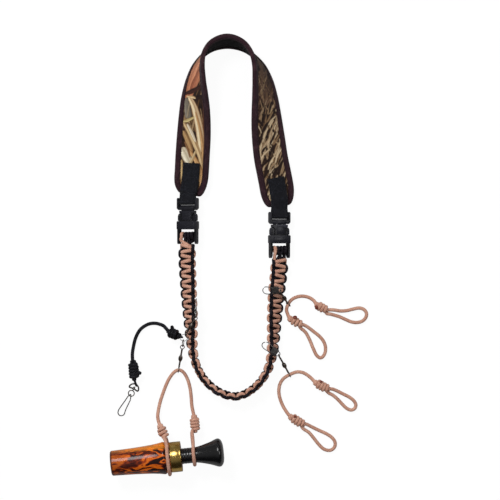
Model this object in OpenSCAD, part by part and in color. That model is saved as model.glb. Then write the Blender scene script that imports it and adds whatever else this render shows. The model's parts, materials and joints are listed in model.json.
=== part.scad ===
// Duck call on a neck lanyard, laid out flat on a table. Millimetres.
// +X runs across the lanyard, +Y towards the neck strap, +Z up from the table.
// The origin lies on the table under the middle of the layout.

/* [Neck strap] */
// Half width of the neck pad over its edge binding
pad_half = 20; // [19:0.5:20.5]
// Thickness of the foam in the pad
foam_t = 3; // [2.5:0.1:3.2]
// Thickness of the printed face and of the lining
skin_t = 0.5; // [0.4:0.05:0.6]
// Thickness of the edge binding tape
tape_t = 0.6; // [0.5:0.05:0.8]
// How far the binding laps onto each face
tape_lap = 7; // [6:0.5:8]
// Width of the webbing tabs
web_w = 19.6; // [19:0.1:20]
// Thickness of the webbing
web_t = 1.2; // [1:0.1:1.4]

/* [Buckles] */
// Width of the side release buckles
buckle_w = 25; // [24:0.5:26]
// Thickness of the side release buckles
buckle_t = 8; // [7.5:0.5:8.5]
// Roll of the left buckle about its long axis
left_roll = 24; // [22:0.5:25]
// Roll of the right buckle about its long axis
right_roll = 22; // [21:0.5:24]
// Height of the buckles' axes over the table
buckle_z = 10.8; // [10.5:0.1:11]

/* [Braid and cords] */
// Half width of the woven braid
braid_a = 10.2; // [9.8:0.1:10.4]
// Half thickness of the woven braid
braid_b = 5.2; // [4.8:0.1:5.4]
// Radius of the drop cords
cord_r = 2; // [1.9:0.05:2.05]
// Radius of the wound knots
knot_r = 5.6; // [5:0.1:5.8]

/* [Hardware] */
// Wire radius of the snaps and the hook
wire_r = 0.5; // [0.45:0.05:0.55]
// Length of a snap
snap_l = 24; // [23.8:0.1:24.3]
// Outer radius of a swivel barrel
barrel_r = 2.4; // [2.2:0.1:2.6]
// Wire radius of the swivel eyes and rings
eye_w = 0.55; // [0.5:0.05:0.6]

/* [Duck call] */
// Height of the call's axis over the table
call_z = 21.4; // [21.3:0.1:22]
// Angle of the call's axis from +X
call_tilt = 5.8; // [5:0.1:7]
// Radius of the bore in the mouth end
mouth_bore_r = 8; // [7.8:0.05:8.1]
// Length of the bore in the mouth end
mouth_bore_l = 32; // [30:0.5:32.5]
// Radius of the exhaust bore in the bell
exhaust_r = 6.5; // [6:0.1:7]
// Running clearance between parts that turn or slide
run = 0.04; // [0.02:0.01:0.06]

/* [Hidden] */
$fn = 48;

// Colours shared by several pieces
webbing_black = [0.05, 0.05, 0.06];
buckle_black = [0.09, 0.09, 0.11];
latch_black = [0.1, 0.1, 0.12];
snap_grey = [0.35, 0.33, 0.32];
clasp_grey = [0.42, 0.4, 0.4];
swivel_grey = [0.2, 0.18, 0.17];
ring_grey = [0.4, 0.38, 0.36];
hook_silver = [0.62, 0.6, 0.58];
drop_tan = [0.82, 0.58, 0.47];
tether_black = [0.06, 0.06, 0.07];

// ---------- lists, vectors and curves ----------
function unit(v) = v / norm(v);
function reversed(list) = [for (i = [len(list) - 1 : -1 : 0]) list[i]];
// Outline that mirrors the points of its +X half
function both_sides(half) = concat(half, [for (point = reversed(half)) [-point[0], point[1]]]);

// Catmull-Rom point between start and end, at the fraction part of the way
function spline(before, start, end, after, part) = 0.5 * (2 * start + (end - before) * part
    + (2 * before - 5 * start + 4 * end - after) * part * part
    + (3 * start - before - 3 * end + after) * part * part * part);
// Curve through the points of way, with steps from each point to the next
function smooth(way, steps) = let (count = len(way)) concat(
    [for (i = [0 : count - 2], j = [0 : steps - 1])
        spline(way[max(i - 1, 0)], way[i], way[i + 1], way[min(i + 2, count - 1)], j / steps)],
    [way[count - 1]]);
function tangent(path, i) = unit(path[min(i + 1, len(path) - 1)] - path[max(i - 1, 0)]);

// Placement matrices: the three axes and the origin
function frame(x_axis, y_axis, z_axis, origin) = [
    for (i = [0 : 2]) [x_axis[i], y_axis[i], z_axis[i], origin[i]],
    [0, 0, 0, 1]];
// +Z along dir and +Y as near to side as it can be
function frame_z(origin, dir, side) = let (z = unit(dir), x = unit(cross(side, z)))
    frame(x, cross(z, x), z, origin);
// +X along dir and +Y as near to side as it can be
function frame_x(origin, dir, side) = let (x = unit(dir), z = unit(cross(x, side)))
    frame(x, cross(z, x), z, origin);
function put(matrix, point) =
    let (placed = matrix * [point[0], point[1], point[2], 1]) [placed[0], placed[1], placed[2]];
function turned(matrix, dir) = put(matrix, dir) - put(matrix, [0, 0, 0]);

// Closes a list of equal rings of points into one solid.
// flipped lists the sides whose squares are split along their other diagonal.
module skin(rings, flipped = []) {
    count = len(rings);
    sides = len(rings[0]);
    polyhedron([for (points = rings) each points], concat(
        [for (i = [0 : count - 2], k = [0 : sides - 1])
            let (here = i * sides + k,
                beside = i * sides + (k + 1) % sides,
                across = (i + 1) * sides + (k + 1) % sides,
                ahead = (i + 1) * sides + k)
            each (len(search(k, flipped)) == 0
                ? [[here, across, beside], [here, ahead, across]]
                : [[here, ahead, beside], [beside, ahead, across]])],
        [[for (k = [0 : sides - 1]) k],
            [for (k = [sides - 1 : -1 : 0]) (count - 1) * sides + k]]));
}

// Round cord or wire along a path; side is a direction the path never runs along
module tube(path, radius, sides = 8, side = [0, 0, 1])
    skin([for (i = [0 : len(path) - 1])
        let (dir = tangent(path, i), right = unit(cross(dir, side)), up = cross(right, dir))
        [for (k = [0 : sides - 1]) let (turn = -360 * k / sides)
            path[i] + radius * (cos(turn) * right + sin(turn) * up)]]);

// Places children so that their origin is at start and their +Z points along dir
module aim(start, dir)
    translate(start)
        rotate([0, acos(dir[2] / norm(dir)), atan2(dir[1], dir[0])])
            children();

// Wire ring about Z
module ring(radius, wire)
    rotate_extrude($fn = 48)
        translate([radius, 0]) circle(wire, $fn = 24);

// ---------- neck pad ----------
// Middle line of the strap from the left end to the right end: x, y, roll from flat.
// A roll past 90 leans the strap outwards.
pad_way = [
    [-58.65, 70.035, 11], [-56.81, 78.545, 10], [-55.2, 94.645, 9], [-54.28, 111.895, 8],
    [-53.13, 130.295, 10], [-52.21, 147.545, 18], [-51.635, 164.795, 28], [-51.29, 182.045, 41],
    [-50.255, 199.295, 56], [-47.15, 216.545, 72], [-40.595, 230.805, 88], [-29.67, 240.695, 99],
    [-13.8, 244.835, 104], [2.07, 240.695, 99], [13.8, 230.805, 88], [22.08, 216.545, 72],
    [26.68, 199.295, 57], [29.095, 182.045, 46], [30.475, 164.795, 36], [31.855, 147.545, 26],
    [33.695, 130.295, 18], [36.11, 111.895, 13], [39.56, 94.645, 11], [42.78, 77.395, 11],
    [45.31, 56.465, 12]];
end_round = 22; // length over which an end rounds off
end_half = 11;  // half width at the very end
skin_gap = 0.06; // between the foam and each skin
stack = foam_t / 2 + skin_t + 0.15; // half thickness inside the binding
pad_face = stack + tape_t; // half thickness over the binding

pad = smooth(pad_way, 3);
pad_n = len(pad);
function pad_xy(i) = [pad[i][0], pad[i][1], 0];
function pad_step(i) = unit(pad_xy(min(i + 1, pad_n - 1)) - pad_xy(max(i - 1, 0)));
function pad_in(i) = let (step = pad_step(i)) [step[1], -step[0], 0];
// Directions across the strap, towards its inner edge, and out of its face
function pad_across(i) = let (roll = pad[i][2]) cos(roll) * pad_in(i) + [0, 0, sin(roll)];
function pad_out(i) = let (roll = pad[i][2]) [0, 0, cos(roll)] - sin(roll) * pad_in(i);
// Distance from the nearer end of the strap
function pad_gap(i) = min(norm(pad_xy(i) - pad_xy(0)), norm(pad_xy(i) - pad_xy(pad_n - 1)));
// Half width at a station: full, with a rounded end
function pad_half_at(i) = let (gap = pad_gap(i)) gap >= end_round
    ? pad_half
    : end_half + (pad_half - end_half) * sqrt(1 - pow((end_round - gap) / end_round, 2));
function pad_mid(i) = let (roll = pad[i][2])
    pad_xy(i) + [0, 0, pad_half_at(i) * sin(roll) + pad_face * abs(cos(roll)) + 0.2];
function pad_at(i, across, out) = pad_mid(i) + across * pad_across(i) + out * pad_out(i);

// One flat layer of the pad between the heights low and high, held back from the edge
module pad_layer(low, high, back)
    skin([for (i = [1 : pad_n - 2])
        let (edge = pad_half_at(i) - back, lap = pad_half_at(i) - tape_lap)
        [for (spot = [[edge, low], [lap, low], [-lap, low], [-edge, low],
            [-edge, high], [-lap, high], [lap, high], [edge, high]])
            pad_at(i, spot[0], spot[1])]], flipped = [4, 5, 6]);

module neck_pad_foam() color("dimgray") pad_layer(-foam_t / 2, foam_t / 2, tape_t + 0.5);
module neck_pad_face() color([0.55, 0.45, 0.3])
    pad_layer(foam_t / 2 + skin_gap, foam_t / 2 + skin_gap + skin_t, tape_t + 0.8);
module neck_pad_lining() color([0.08, 0.08, 0.09])
    pad_layer(-foam_t / 2 - skin_gap - skin_t, -foam_t / 2 - skin_gap, tape_t + 0.8);

// Section of the tape folded over one edge: side is 1 for the inner edge, -1 for the outer
function tape_ring(i, side) = let (edge = pad_half_at(i), lap = edge - tape_lap)
    [for (spot = [[edge, pad_face], [edge, -pad_face], [lap, -pad_face], [lap, -stack],
        [edge - tape_t, -stack], [edge - tape_t, stack], [lap, stack], [lap, pad_face]])
        pad_at(i, side * spot[0], spot[1])];
// One folded strip along each long edge
module neck_pad_binding() color([0.16, 0.08, 0.1]) {
    skin([for (i = [0 : pad_n - 1]) tape_ring(i, 1)], flipped = [3, 7]);
    skin([for (i = [pad_n - 1 : -1 : 0]) tape_ring(i, -1)], flipped = [3, 7]);
}

// ---------- side release buckles, in their own frame ----------
// Local +Y runs from the female half to the male half, +Z is the front,
// y = 0 is the mating line.
left_buckle_at = [-59.455, 50.945, buckle_z];
right_buckle_at = [45.655, 34.845, buckle_z];
bar_y = 10;          // bar of the male half
female_bar_y = -27.4;
bar_r = 1.7;
slot_t = 4.8;        // height of the slots that the latch arms run in

module left_place() translate(left_buckle_at) rotate([0, -left_roll, 0]) children();
module right_place() translate(right_buckle_at) rotate([0, right_roll, 0]) children();
module plate(outline, thick)
    translate([0, 0, -thick / 2]) linear_extrude(thick) polygon(outline);
module cross_bar(y, length)
    translate([0, y, 0]) rotate([0, 90, 0]) cylinder(h = length, r = bar_r, center = true);

module buckle_male() color(buckle_black) {
    difference() {
        plate(both_sides([[10.5, 1], [buckle_w / 2, 3], [buckle_w / 2, 13.6], [11.7, 15]]),
            buckle_t - 0.6);
        translate([-10.4, 5, -10]) cube([20.8, 14, 20]);
        // slots for the roots of the latch arms
        for (side = [-1, 1])
            translate([side * 6, 0.4, 0]) cube([4.4, 3.2, slot_t], center = true);
    }
    cross_bar(bar_y, 22.4);
    // guide tongue between the two latch arms
    plate(both_sides([[2.6, 1.2], [2.6, -13], [1.6, -15.5]]), 3.6);
}

// One flexing latch arm on the +X side, with its thumb shoulder
module latch_arm() color(latch_black)
    plate([[4.2, 1.8], [4.2, -13.2], [5.4, -16.4], [7.6, -16.8], [9.6, -14.6], [10.2, -11.6],
        [12, -11], [12, -6], [11.2, -3.8], [9.8, -2.7], [7.5, -2.5], [7.5, 1.8]], 4.2);

module buckle_female() color(buckle_black) {
    difference() {
        union() {
            // throat ring and centre plates
            plate(both_sides([[9.2, 0.4], [9.2, -2.2], [6.6, -5], [6.6, -12]]), buckle_t - 0.4);
            // box that takes the tips of the arms
            plate(both_sides([[buckle_w / 2 - 1, -11.6], [buckle_w / 2, -12.6],
                [buckle_w / 2, -20.4], [buckle_w / 2 - 0.8, -21.2]]), buckle_t);
        }
        translate([-7.9, -12, -slot_t / 2]) cube([15.8, 20, slot_t]);
        translate([-10.9, -19, -slot_t / 2]) cube([21.8, 16.6, slot_t]);
    }
    // side rails and the bar that the braid ties to
    for (side = [-1, 1])
        plate([[side * 12, -20.8], [side * 9.6, -20.8], [side * 9.6, -35],
            [side * 10.6, -38], [side * 11.4, -38], [side * 12, -36]], buckle_t - 1);
    cross_bar(female_bar_y, 21);
}

module left_buckle_male() left_place() buckle_male();
module left_buckle_female() left_place() buckle_female();
module left_latch_inner() left_place() latch_arm();
module left_latch_outer() left_place() mirror([1, 0, 0]) latch_arm();
module right_buckle_male() right_place() buckle_male();
module right_buckle_female() right_place() buckle_female();
module right_latch_outer() right_place() latch_arm();
module right_latch_inner() right_place() mirror([1, 0, 0]) latch_arm();

// ---------- webbing tabs ----------
function tab_ring(mid, across, out) = let (wide = across * web_w / 2, thick = out * web_t / 2)
    [mid + wide + thick, mid + wide - thick, mid - wide - thick, mid - wide + thick];

// A folded strip: it lies on the face of the pad, runs to the buckle's bar, turns round it
// and comes back under itself. side is 1 on the left buckle and -1 on the right one.
// stations are the pad stations it covers, from the pad's end inwards.
module tab(bar, roll, stations, side) {
    across = [side * cos(roll), 0, sin(roll)];
    out = [-side * sin(roll), 0, cos(roll)];
    to_pad = [0, 1, 0];
    turn_r = bar_r + 0.25 + web_t / 2;
    // it lifts a little to pass over the end of the pad
    function lift(i) = i == stations[0] ? 1.2 : i == stations[1] ? 0.5 : 0.15;
    // each row is the strip's middle, its direction across, and its outward direction
    function on_pad(height, face) = [for (i = stations)
        [pad_at(i, 0, height + lift(i)), pad_across(i), face * pad_out(i)]];
    top = on_pad(pad_face + 1.5 * web_t + 0.65, 1);
    under = on_pad(pad_face + web_t / 2 + 0.35, -1);
    front = [for (step = [[10.5, 0.95], [7, 1.3]])
        [bar + to_pad * step[0] + out * step[1], across, out]];
    turn = [for (a = [90 : -22.5 : -90]) let (dir = -to_pad * cos(a) + out * sin(a))
        [bar + dir * turn_r, across, dir]];
    back = [for (step = [[7, 1.35], [10.5, 0.95]])
        [bar + to_pad * step[0] - out * step[1], across, -out]];
    skin([for (row = concat(reversed(top), front, turn, back, under))
        let (points = tab_ring(row[0], row[1], row[2]))
        side > 0 ? points : reversed(points)]);
}
module left_web_tab() color(webbing_black)
    tab(left_buckle_at + [0, bar_y, 0], left_roll, [for (i = [1 : 8]) i], 1);
module right_web_tab() color(webbing_black)
    tab(right_buckle_at + [0, bar_y, 0], right_roll, [for (i = [2 : 6]) pad_n - i], -1);

// ---------- woven braid ----------
// Middle line from the left buckle round to the right buckle: x, y, z, roll from flat.
braid_way = [
    [-59.685, 14.72, 10.4, 24], [-60.26, 3.795, 9.8, 26], [-60.03, -12.305, 8.9, 31],
    [-59.11, -28.405, 8.7, 35], [-58.305, -44.505, 8.7, 41], [-57.155, -60.605, 8.9, 47],
    [-56.12, -76.705, 9.3, 55], [-55.2, -95.105, 9.8, 66], [-53.36, -112.355, 10.2, 76],
    [-48.99, -127.88, 10.4, 83], [-41.17, -141.68, 10.5, 88], [-29.9, -152.835, 10.6, 90],
    [-16.79, -159.965, 10.6, 90], [-3.68, -162.035, 10.6, 90], [9.2, -157.665, 10.6, 88],
    [22.31, -147.085, 10.5, 85], [32.43, -131.33, 10.4, 80], [37.145, -113.505, 10.1, 72],
    [38.87, -95.105, 9.7, 62], [39.79, -76.705, 9.2, 52], [41.055, -58.305, 8.8, 42],
    [42.665, -39.905, 8.7, 35], [44.85, -21.505, 8.9, 29], [45.655, -11.155, 9.7, 25],
    [45.77, -1.955, 10.2, 22]];
core_half = [4, 1.3];      // half width and half thickness of the core
channel_half = [4.6, 1.8]; // the same for the channel round the core
shell_gap = 0.27;          // from the middle plane to the edge of each shell's inner face
core_cord_r = 1.7;

braid = smooth(braid_way, 2);
braid_n = len(braid);
function braid_mid(i) = [braid[i][0], braid[i][1], braid[i][2]];
function braid_in(i) =
    let (step = braid_mid(min(i + 1, braid_n - 1)) - braid_mid(max(i - 1, 0)),
        dir = unit([step[0], step[1], 0]))
    [-dir[1], dir[0], 0];
function braid_across(i) = let (roll = braid[i][3]) cos(roll) * braid_in(i) + [0, 0, sin(roll)];
function braid_out(i) = let (roll = braid[i][3]) [0, 0, cos(roll)] - sin(roll) * braid_in(i);
// The braid narrows towards each buckle
function braid_scale(i) = min(1, 0.86 + 0.07 * min(i, braid_n - 1 - i));
function braid_at(i, across, out) =
    braid_mid(i) + across * braid_scale(i) * braid_across(i) + out * braid_out(i);
module braid_sweep(section)
    skin([for (i = [0 : braid_n - 1]) [for (spot = section) braid_at(i, spot[0], spot[1])]]);
half_shell = concat(
    [for (a = [3 : 21.75 : 178]) [braid_a * cos(a), braid_b * sin(a)]],
    [[-channel_half[0], shell_gap], [-channel_half[0], channel_half[1]],
        [channel_half[0], channel_half[1]], [channel_half[0], shell_gap]]);

// Where the core cords turn round a female buckle's bar; end is their reach below y = 0
module core_loops(end) for (x = [-3.6, 3.6])
    tube(smooth([[x * 0.8, -end, 1.9], [x, -30.6, 2.8], [x, female_bar_y, 3.55],
        [x, -24.4, 2.4], [x, -23.8, 0], [x, -24.4, -2.4],
        [x, female_bar_y, -3.55], [x, -30.6, -2.8], [x * 0.8, -end, -1.9]], 2),
        core_cord_r, 8, [1, 0, 0.02]);
module braid_core_cords() color(webbing_black) {
    braid_sweep([[core_half[0], -core_half[1]], [core_half[0], core_half[1]],
        [-core_half[0], core_half[1]], [-core_half[0], -core_half[1]]]);
    left_place() core_loops(35.6);
    right_place() core_loops(36.2);
}
module braid_tan_cord() color([0.8, 0.56, 0.45]) braid_sweep(half_shell);
module braid_black_cord() color([0.06, 0.05, 0.07])
    braid_sweep([for (spot = reversed(half_shell)) [spot[0], -spot[1]]]);

// ---------- snaps, in their own frame ----------
// Local +X runs from the nose to the rear loop, the wire lies in the XY plane
// and the gate is on the +Y side. Waypoints are x, y, z.
snap_wire_way = [[15.4, 2.5, 0], [18, 2.8, 0], [21, 2.7, 0], [23.1, 1.8, 0], [snap_l, 0, 0],
    [23.1, -1.8, 0], [21, -2.7, 0], [16, -3.5, 0], [10, -4.1, 0], [5, -4.2, 0],
    [1.6, -3, 0], [0.3, -0.6, 0], [0.6, 1.4, 0], [1.7, 2.9, 0]];
snap_gate_way = [[3.3, 4.1, 0], [5.2, 4.5, 0], [8.6, 4.2, 0], [11.6, 3.6, 0], [13.8, 3.1, 0]];
snap_loop = [3, 2.8]; // half length and half width of the rear loop

module snap_wire(place) color(snap_grey)
    multmatrix(place) tube(smooth(snap_wire_way, 3), wire_r, 6);
module snap_gate(place) color(snap_grey)
    multmatrix(place) tube(smooth(snap_gate_way, 2), wire_r, 6);
// Folded sheet clasp, open on the gate side
module snap_clasp(place) color(clasp_grey)
    multmatrix(place) translate([12.6, -4.9, -1.1]) difference() {
        cube([8, 9.2, 2.2]);
        translate([-1, 0.5, 0.5]) cube([12, 12, 1.2]);
    }
// Point of the rear loop at an angle from the snap's axis, and the wire's direction there
function loop_point(place, angle) =
    put(place, [snap_l - snap_loop[0] + snap_loop[0] * cos(angle), snap_loop[1] * sin(angle), 0]);
function loop_dir(place, angle) = turned(place, [-sin(angle), cos(angle), 0]);

// ---------- barrel swivels, in their own frame ----------
// Local +Z runs from the upper eye to the lower eye; z = 0 is the middle of the barrel.
barrel_l = 8;
stem_r = 0.6;
head_r = 1.1;
eye_small = 2.3;
eye_big = 2.9;

module swivel_barrel() {
    bore = stem_r + run;
    half = barrel_l / 2;
    rotate_extrude($fn = 48) polygon([
        [bore, -half], [1.25, -half], [1.75, -2.8], [barrel_r, -1.3],
        [barrel_r, 1.3], [1.75, 2.8], [1.25, half], [bore, half],
        [bore, half - 1], [1.3, half - 1.6], [1.3, -half + 1.6], [bore, -half + 1]]);
}
// Eye on the +Z end: its neck has the wire's end wound round it
module swivel_eye(radius, neck) {
    translate([0, 0, 0.3]) cylinder(h = 1.2, r = head_r, $fn = 32);
    translate([0, 0, 0.3])
        cylinder(h = barrel_l / 2 + neck + eye_w * 0.6 - 0.3, r = stem_r, $fn = 32);
    translate([0, 0, barrel_l / 2 + 0.35]) cylinder(h = neck - 0.5, r = 1, $fn = 32);
    translate([0, 0, barrel_l / 2 + neck + radius]) rotate([90, 0, 0]) ring(radius, eye_w);
}

// A hung swivel is [held wire's point, held cord's point, lower eye's radius].
// Its upper eye's ring stands one step past the wire.
function hang_dir(hung) = unit(hung[1] - hung[0]);
function hang_top(hung) = hung[0] + hang_dir(hung) * (eye_small - eye_w - wire_r - 0.5);
function hang_neck(hung) =
    (norm(hung[1] - hang_top(hung)) - eye_small - hung[2] - barrel_l) / 2;
function hang_mid(hung) =
    hang_top(hung) + hang_dir(hung) * (eye_small + hang_neck(hung) + barrel_l / 2);
module hung_barrel(hung) color(swivel_grey)
    multmatrix(frame_z(hang_mid(hung), hang_dir(hung), [0, 0, 1])) swivel_barrel();
module hung_upper(hung, side) color(swivel_grey)
    multmatrix(frame_z(hang_mid(hung), -hang_dir(hung), side))
        swivel_eye(eye_small, hang_neck(hung));
module hung_lower(hung, side) color(swivel_grey)
    multmatrix(frame_z(hang_mid(hung), hang_dir(hung), side))
        swivel_eye(hung[2], hang_neck(hung));

// ---------- upper right snap and swivel ----------
upper_snap = frame_x([26.45, -40.595, 12.4], [20.6, 0.8, 11.4], [0, 1, 0.4]);
upper_angle = -50;
upper_hold = [56.005, -56.695, 3.9];
upper_swivel = [loop_point(upper_snap, upper_angle), upper_hold, eye_big];
module upper_snap_wire() snap_wire(upper_snap);
module upper_snap_gate() snap_gate(upper_snap);
module upper_snap_clasp() snap_clasp(upper_snap);
module upper_swivel_top_eye() hung_upper(upper_swivel, loop_dir(upper_snap, upper_angle));
module upper_swivel_barrel() hung_barrel(upper_swivel);
module upper_swivel_low_eye() hung_lower(upper_swivel, [-1, -2, 0]);

// ---------- lower right snap and swivel ----------
lower_snap = frame_x([26.105, -100.625, 21.4], [18.9, -12.9, -0.6], [12.9, 18.9, 8]);
lower_angle = -24;
lower_hold = [57.5, -137.655, 3.9];
lower_swivel = [loop_point(lower_snap, lower_angle), lower_hold, eye_big];
module lower_snap_wire() snap_wire(lower_snap);
module lower_snap_gate() snap_gate(lower_snap);
module lower_snap_clasp() snap_clasp(lower_snap);
module lower_swivel_top_eye() hung_upper(lower_swivel, loop_dir(lower_snap, lower_angle));
module lower_swivel_barrel() hung_barrel(lower_swivel);
module lower_swivel_low_eye() hung_lower(lower_swivel, [-2.2, -1, 0]);

// ---------- left snap and swivel, split ring and the call's chain ----------
// The left swivel carries the split ring; the link and the call's swivel hang from that ring.
left_snap = frame_x([-49.68, -49.795, 13.6], [-0.6, -21.4, 11], [0, 1, 2.2]);
left_angle = -46;
left_tail = loop_point(left_snap, left_angle);
ring_r = 4.2;
link_r = 4;
link_gap = 0.25; // clearance between two linked rings
ring_at = [-63.71, -94.415, 16.4];
call_hold = [-70.38, -132.135, 3.9];
left_dir = unit(ring_at - left_tail);
link_dir = unit(call_hold - ring_at);
ring_axis = unit(cross(left_dir, link_dir));
link_at = ring_at + link_dir * (ring_r + link_r - 2 * eye_w - link_gap);
left_swivel = [left_tail,
    ring_at - left_dir * (ring_r + eye_small - 2 * eye_w - link_gap), eye_small];
call_swivel = [link_at + link_dir * link_r, call_hold, eye_big];
module left_snap_wire() snap_wire(left_snap);
module left_snap_gate() snap_gate(left_snap);
module left_snap_clasp() snap_clasp(left_snap);
module left_swivel_upper_eye() hung_upper(left_swivel, loop_dir(left_snap, left_angle));
module left_swivel_barrel() hung_barrel(left_swivel);
module left_swivel_lower_eye() hung_lower(left_swivel, cross(ring_axis, left_dir));
module split_ring() color(ring_grey)
    multmatrix(frame_z(ring_at, ring_axis, left_dir)) ring(ring_r, eye_w);
module call_chain_link() color(ring_grey)
    multmatrix(frame_z(link_at, cross(ring_axis, link_dir), link_dir)) ring(link_r, eye_w);
module call_swivel_upper_eye() hung_upper(call_swivel, ring_axis);
module call_swivel_barrel() hung_barrel(call_swivel);
module call_swivel_lower_eye() hung_lower(call_swivel, [1, 0, 0]);

// ---------- drops: cord held by a swivel eye, with a running noose at each end ----------
// Waypoints are x, y, z; each row of a knot table is the knot's two ends.
rest = cord_r + 0.15; // height of a cord that lies on the table

// Wound knot between two points: four turns of cord
module knot(start, end, radius) {
    length = norm(end - start);
    aim(start, end - start) rotate_extrude($fn = 40) polygon(concat(
        [[0, 0], [radius * 0.62, 0]],
        [for (k = [0 : 3], part = [0.1, 0.3, 0.5, 0.7, 0.9])
            [radius * (0.86 + 0.14 * sin(180 * part)) * (k == 0 || k == 3 ? 0.94 : 1),
                length * (0.06 + 0.88 * (k + part) / 4)]],
        [[radius * 0.62, length], [0, length]]));
}
module knots(ends, radius = knot_r) for (pair = ends) knot(pair[0], pair[1], radius);
module cord(way, side = [0, 0, 1]) tube(smooth(way, 2), cord_r, 8, side);

// Upper right drop
upper_knots = [
    [[88.32, -56.695, 6], [100.74, -64.055, 6]],
    [[57.27, -72.335, 6], [71.3, -81.075, 6]]];
upper_mid = [
    [88.09, -56.35, 5.6], [85.79, -52.555, 4], [81.305, -49.335, rest], [76.475, -47.61, rest],
    [70.84, -47.15, rest], [65.32, -48.3, rest], [60.605, -50.715, 2.9], [57.385, -53.935, 3.7],
    upper_hold, [54.625, -59.455, 3.7], [54.05, -63.365, 2.9], [55.2, -67.39, 3.4],
    [57.04, -71.875, 5.6]];
upper_noose_1 = [
    [101.2, -62.905, 5.4], [105.11, -62.79, 4.6], [109.48, -63.135, 3.4],
    [116.15, -64.17, 2.3], [123.165, -63.825, rest], [130.065, -62.215, rest],
    [137.08, -60.835, rest], [142.6, -62.1, rest], [146.05, -66.125, rest],
    [145.705, -71.185, rest], [141.91, -75.555, rest], [135.7, -77.51, rest],
    [128.685, -76.705, rest], [121.785, -73.83, rest], [114.77, -70.725, 2.3],
    [108.56, -68.885, 3.2], [104.42, -67.735, 4.4], [100.51, -67.045, 5.2]];
upper_noose_2 = [
    [73.14, -79.925, 5.4], [76.82, -81.65, 4.2], [80.04, -83.835, 3], [84.755, -87.515, rest],
    [91.77, -93.15, rest], [96.6, -99.015, rest], [98.9, -105.455, rest],
    [98.555, -112.125, rest], [95.91, -116.84, rest], [92.345, -118.105, rest],
    [88.32, -114.655, rest], [84.755, -107.18, rest], [81.19, -98.555, rest],
    [77.395, -90.965, 3], [74.29, -87.055, 4.2], [70.61, -84.065, 5.2]];
module upper_drop_cord() color(drop_tan) {
    cord(upper_mid);
    cord(upper_noose_1);
    cord(upper_noose_2);
}
module upper_drop_knots() color(drop_tan) knots(upper_knots);

// Lower right drop
lower_knots = [
    [[86.94, -146.395, 6], [102.58, -154.905, 6]],
    [[58.19, -185.495, 6], [73.83, -195.615, 6]]];
lower_mid = [
    [86.71, -145.935, 5.6], [82.685, -141.795, 3.6], [77.51, -137.655, rest],
    [72.335, -135.125, 2.4], [66.47, -134.435, 3.1], [61.18, -135.93, 3.7], lower_hold,
    [53.59, -139.725, 3.7], [49.45, -143.405, 2.6], [46.345, -149.04, rest],
    [45.195, -156.4, rest], [46.345, -164.45, rest], [49.68, -173.19, rest],
    [54.05, -180.435, 3.4], [57.845, -185.035, 5.6]];
lower_noose_1 = [
    [104.88, -153.755, 5.4], [108.1, -154.445, 4.4], [112.24, -156.285, 3],
    [119.255, -159.85, rest], [126.615, -163.645, rest], [131.79, -167.9, rest],
    [133.975, -172.5, rest], [132.48, -176.755, rest], [128.11, -178.365, rest],
    [122.935, -176.065, rest], [117.99, -171.235, rest], [113.39, -166.405, 2.4],
    [108.1, -161.69, 3.6], [101.89, -158.01, 5]];
lower_noose_2 = [
    [76.13, -194.235, 5.4], [79.35, -195.615, 4.4], [83.49, -197.915, 3],
    [91.425, -201.825, rest], [99.475, -205.505, rest], [106.145, -209.875, rest],
    [109.825, -215.05, rest], [109.825, -220.11, rest], [106.835, -223.79, rest],
    [102.465, -224.94, rest], [96.6, -223.1, rest], [90.735, -217.465, rest],
    [85.1, -210.335, 2.2], [79.81, -204.125, 3.4], [73.14, -199.525, 5]];
module lower_drop_cord() color(drop_tan) {
    cord(lower_mid);
    cord(lower_noose_1);
    cord(lower_noose_2);
}
module lower_drop_knots() color(drop_tan) knots(lower_knots);

// The call's drop: one noose stands round the barrel, on the mouth side of the band,
// the other round the neck of the insert
call_mouth = [-146.97, -237.935, call_z];
call_axis = [cos(call_tilt), sin(call_tilt), 0];
call_side = [-sin(call_tilt), cos(call_tilt), 0];
// Point by its distance along the call, its distance aside and its height over the table
function call_point(along, aside, z) =
    call_mouth + along * call_axis + aside * call_side + [0, 0, z - call_z];
function call_arc(along, radius, angles) =
    [for (a = angles) call_point(along, radius * cos(a), call_z + radius * sin(a))];

call_knots = [
    [[-91.31, -195.385, 12], [-85.1, -209.645, 18]],
    [[-52.44, -185.035, 7], [-50.83, -202.515, 9.5]]];
call_mid = [
    [-91.54, -194.695, 11.6], [-93.61, -189.405, 8.6], [-94.185, -183.08, 5],
    [-92.345, -172.155, 2.6], [-89.7, -162.955, rest], [-85.79, -152.145, rest],
    [-81.65, -142.945, 2.4], [-76.13, -135.355, 3.4], call_hold, [-64.63, -134.895, 3.4],
    [-60.03, -142.945, 2.4], [-57.27, -152.605, rest], [-55.89, -162.955, rest],
    [-55.085, -172.845, 3.6], [-53.705, -179.745, 5.6], [-52.555, -184.345, 6.8]];
barrel_noose = concat(
    [call_point(63.4, 22.8, 20.6), call_point(64.8, 20.3, 27)],
    call_arc(65.9, 19.35, [38 : 26 : 324]),
    [call_point(64.8, 21.8, 12.6), call_point(63, 23.4, 15.2)]);
neck_noose = concat(
    [call_point(95.6, 25.2, 11.8), call_point(95.8, 19, 19), call_point(95.8, 12.4, 26.6)],
    call_arc(95.2, 11.2, [64 : 26 : 300]),
    [call_point(94.9, 15, 9), call_point(95.2, 24.8, 7)]);
module call_drop_cord() color(drop_tan) {
    cord(call_mid);
    cord(barrel_noose, call_axis);
    cord(neck_noose, call_axis);
}
module call_drop_knots() color(drop_tan) knots(call_knots);

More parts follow.
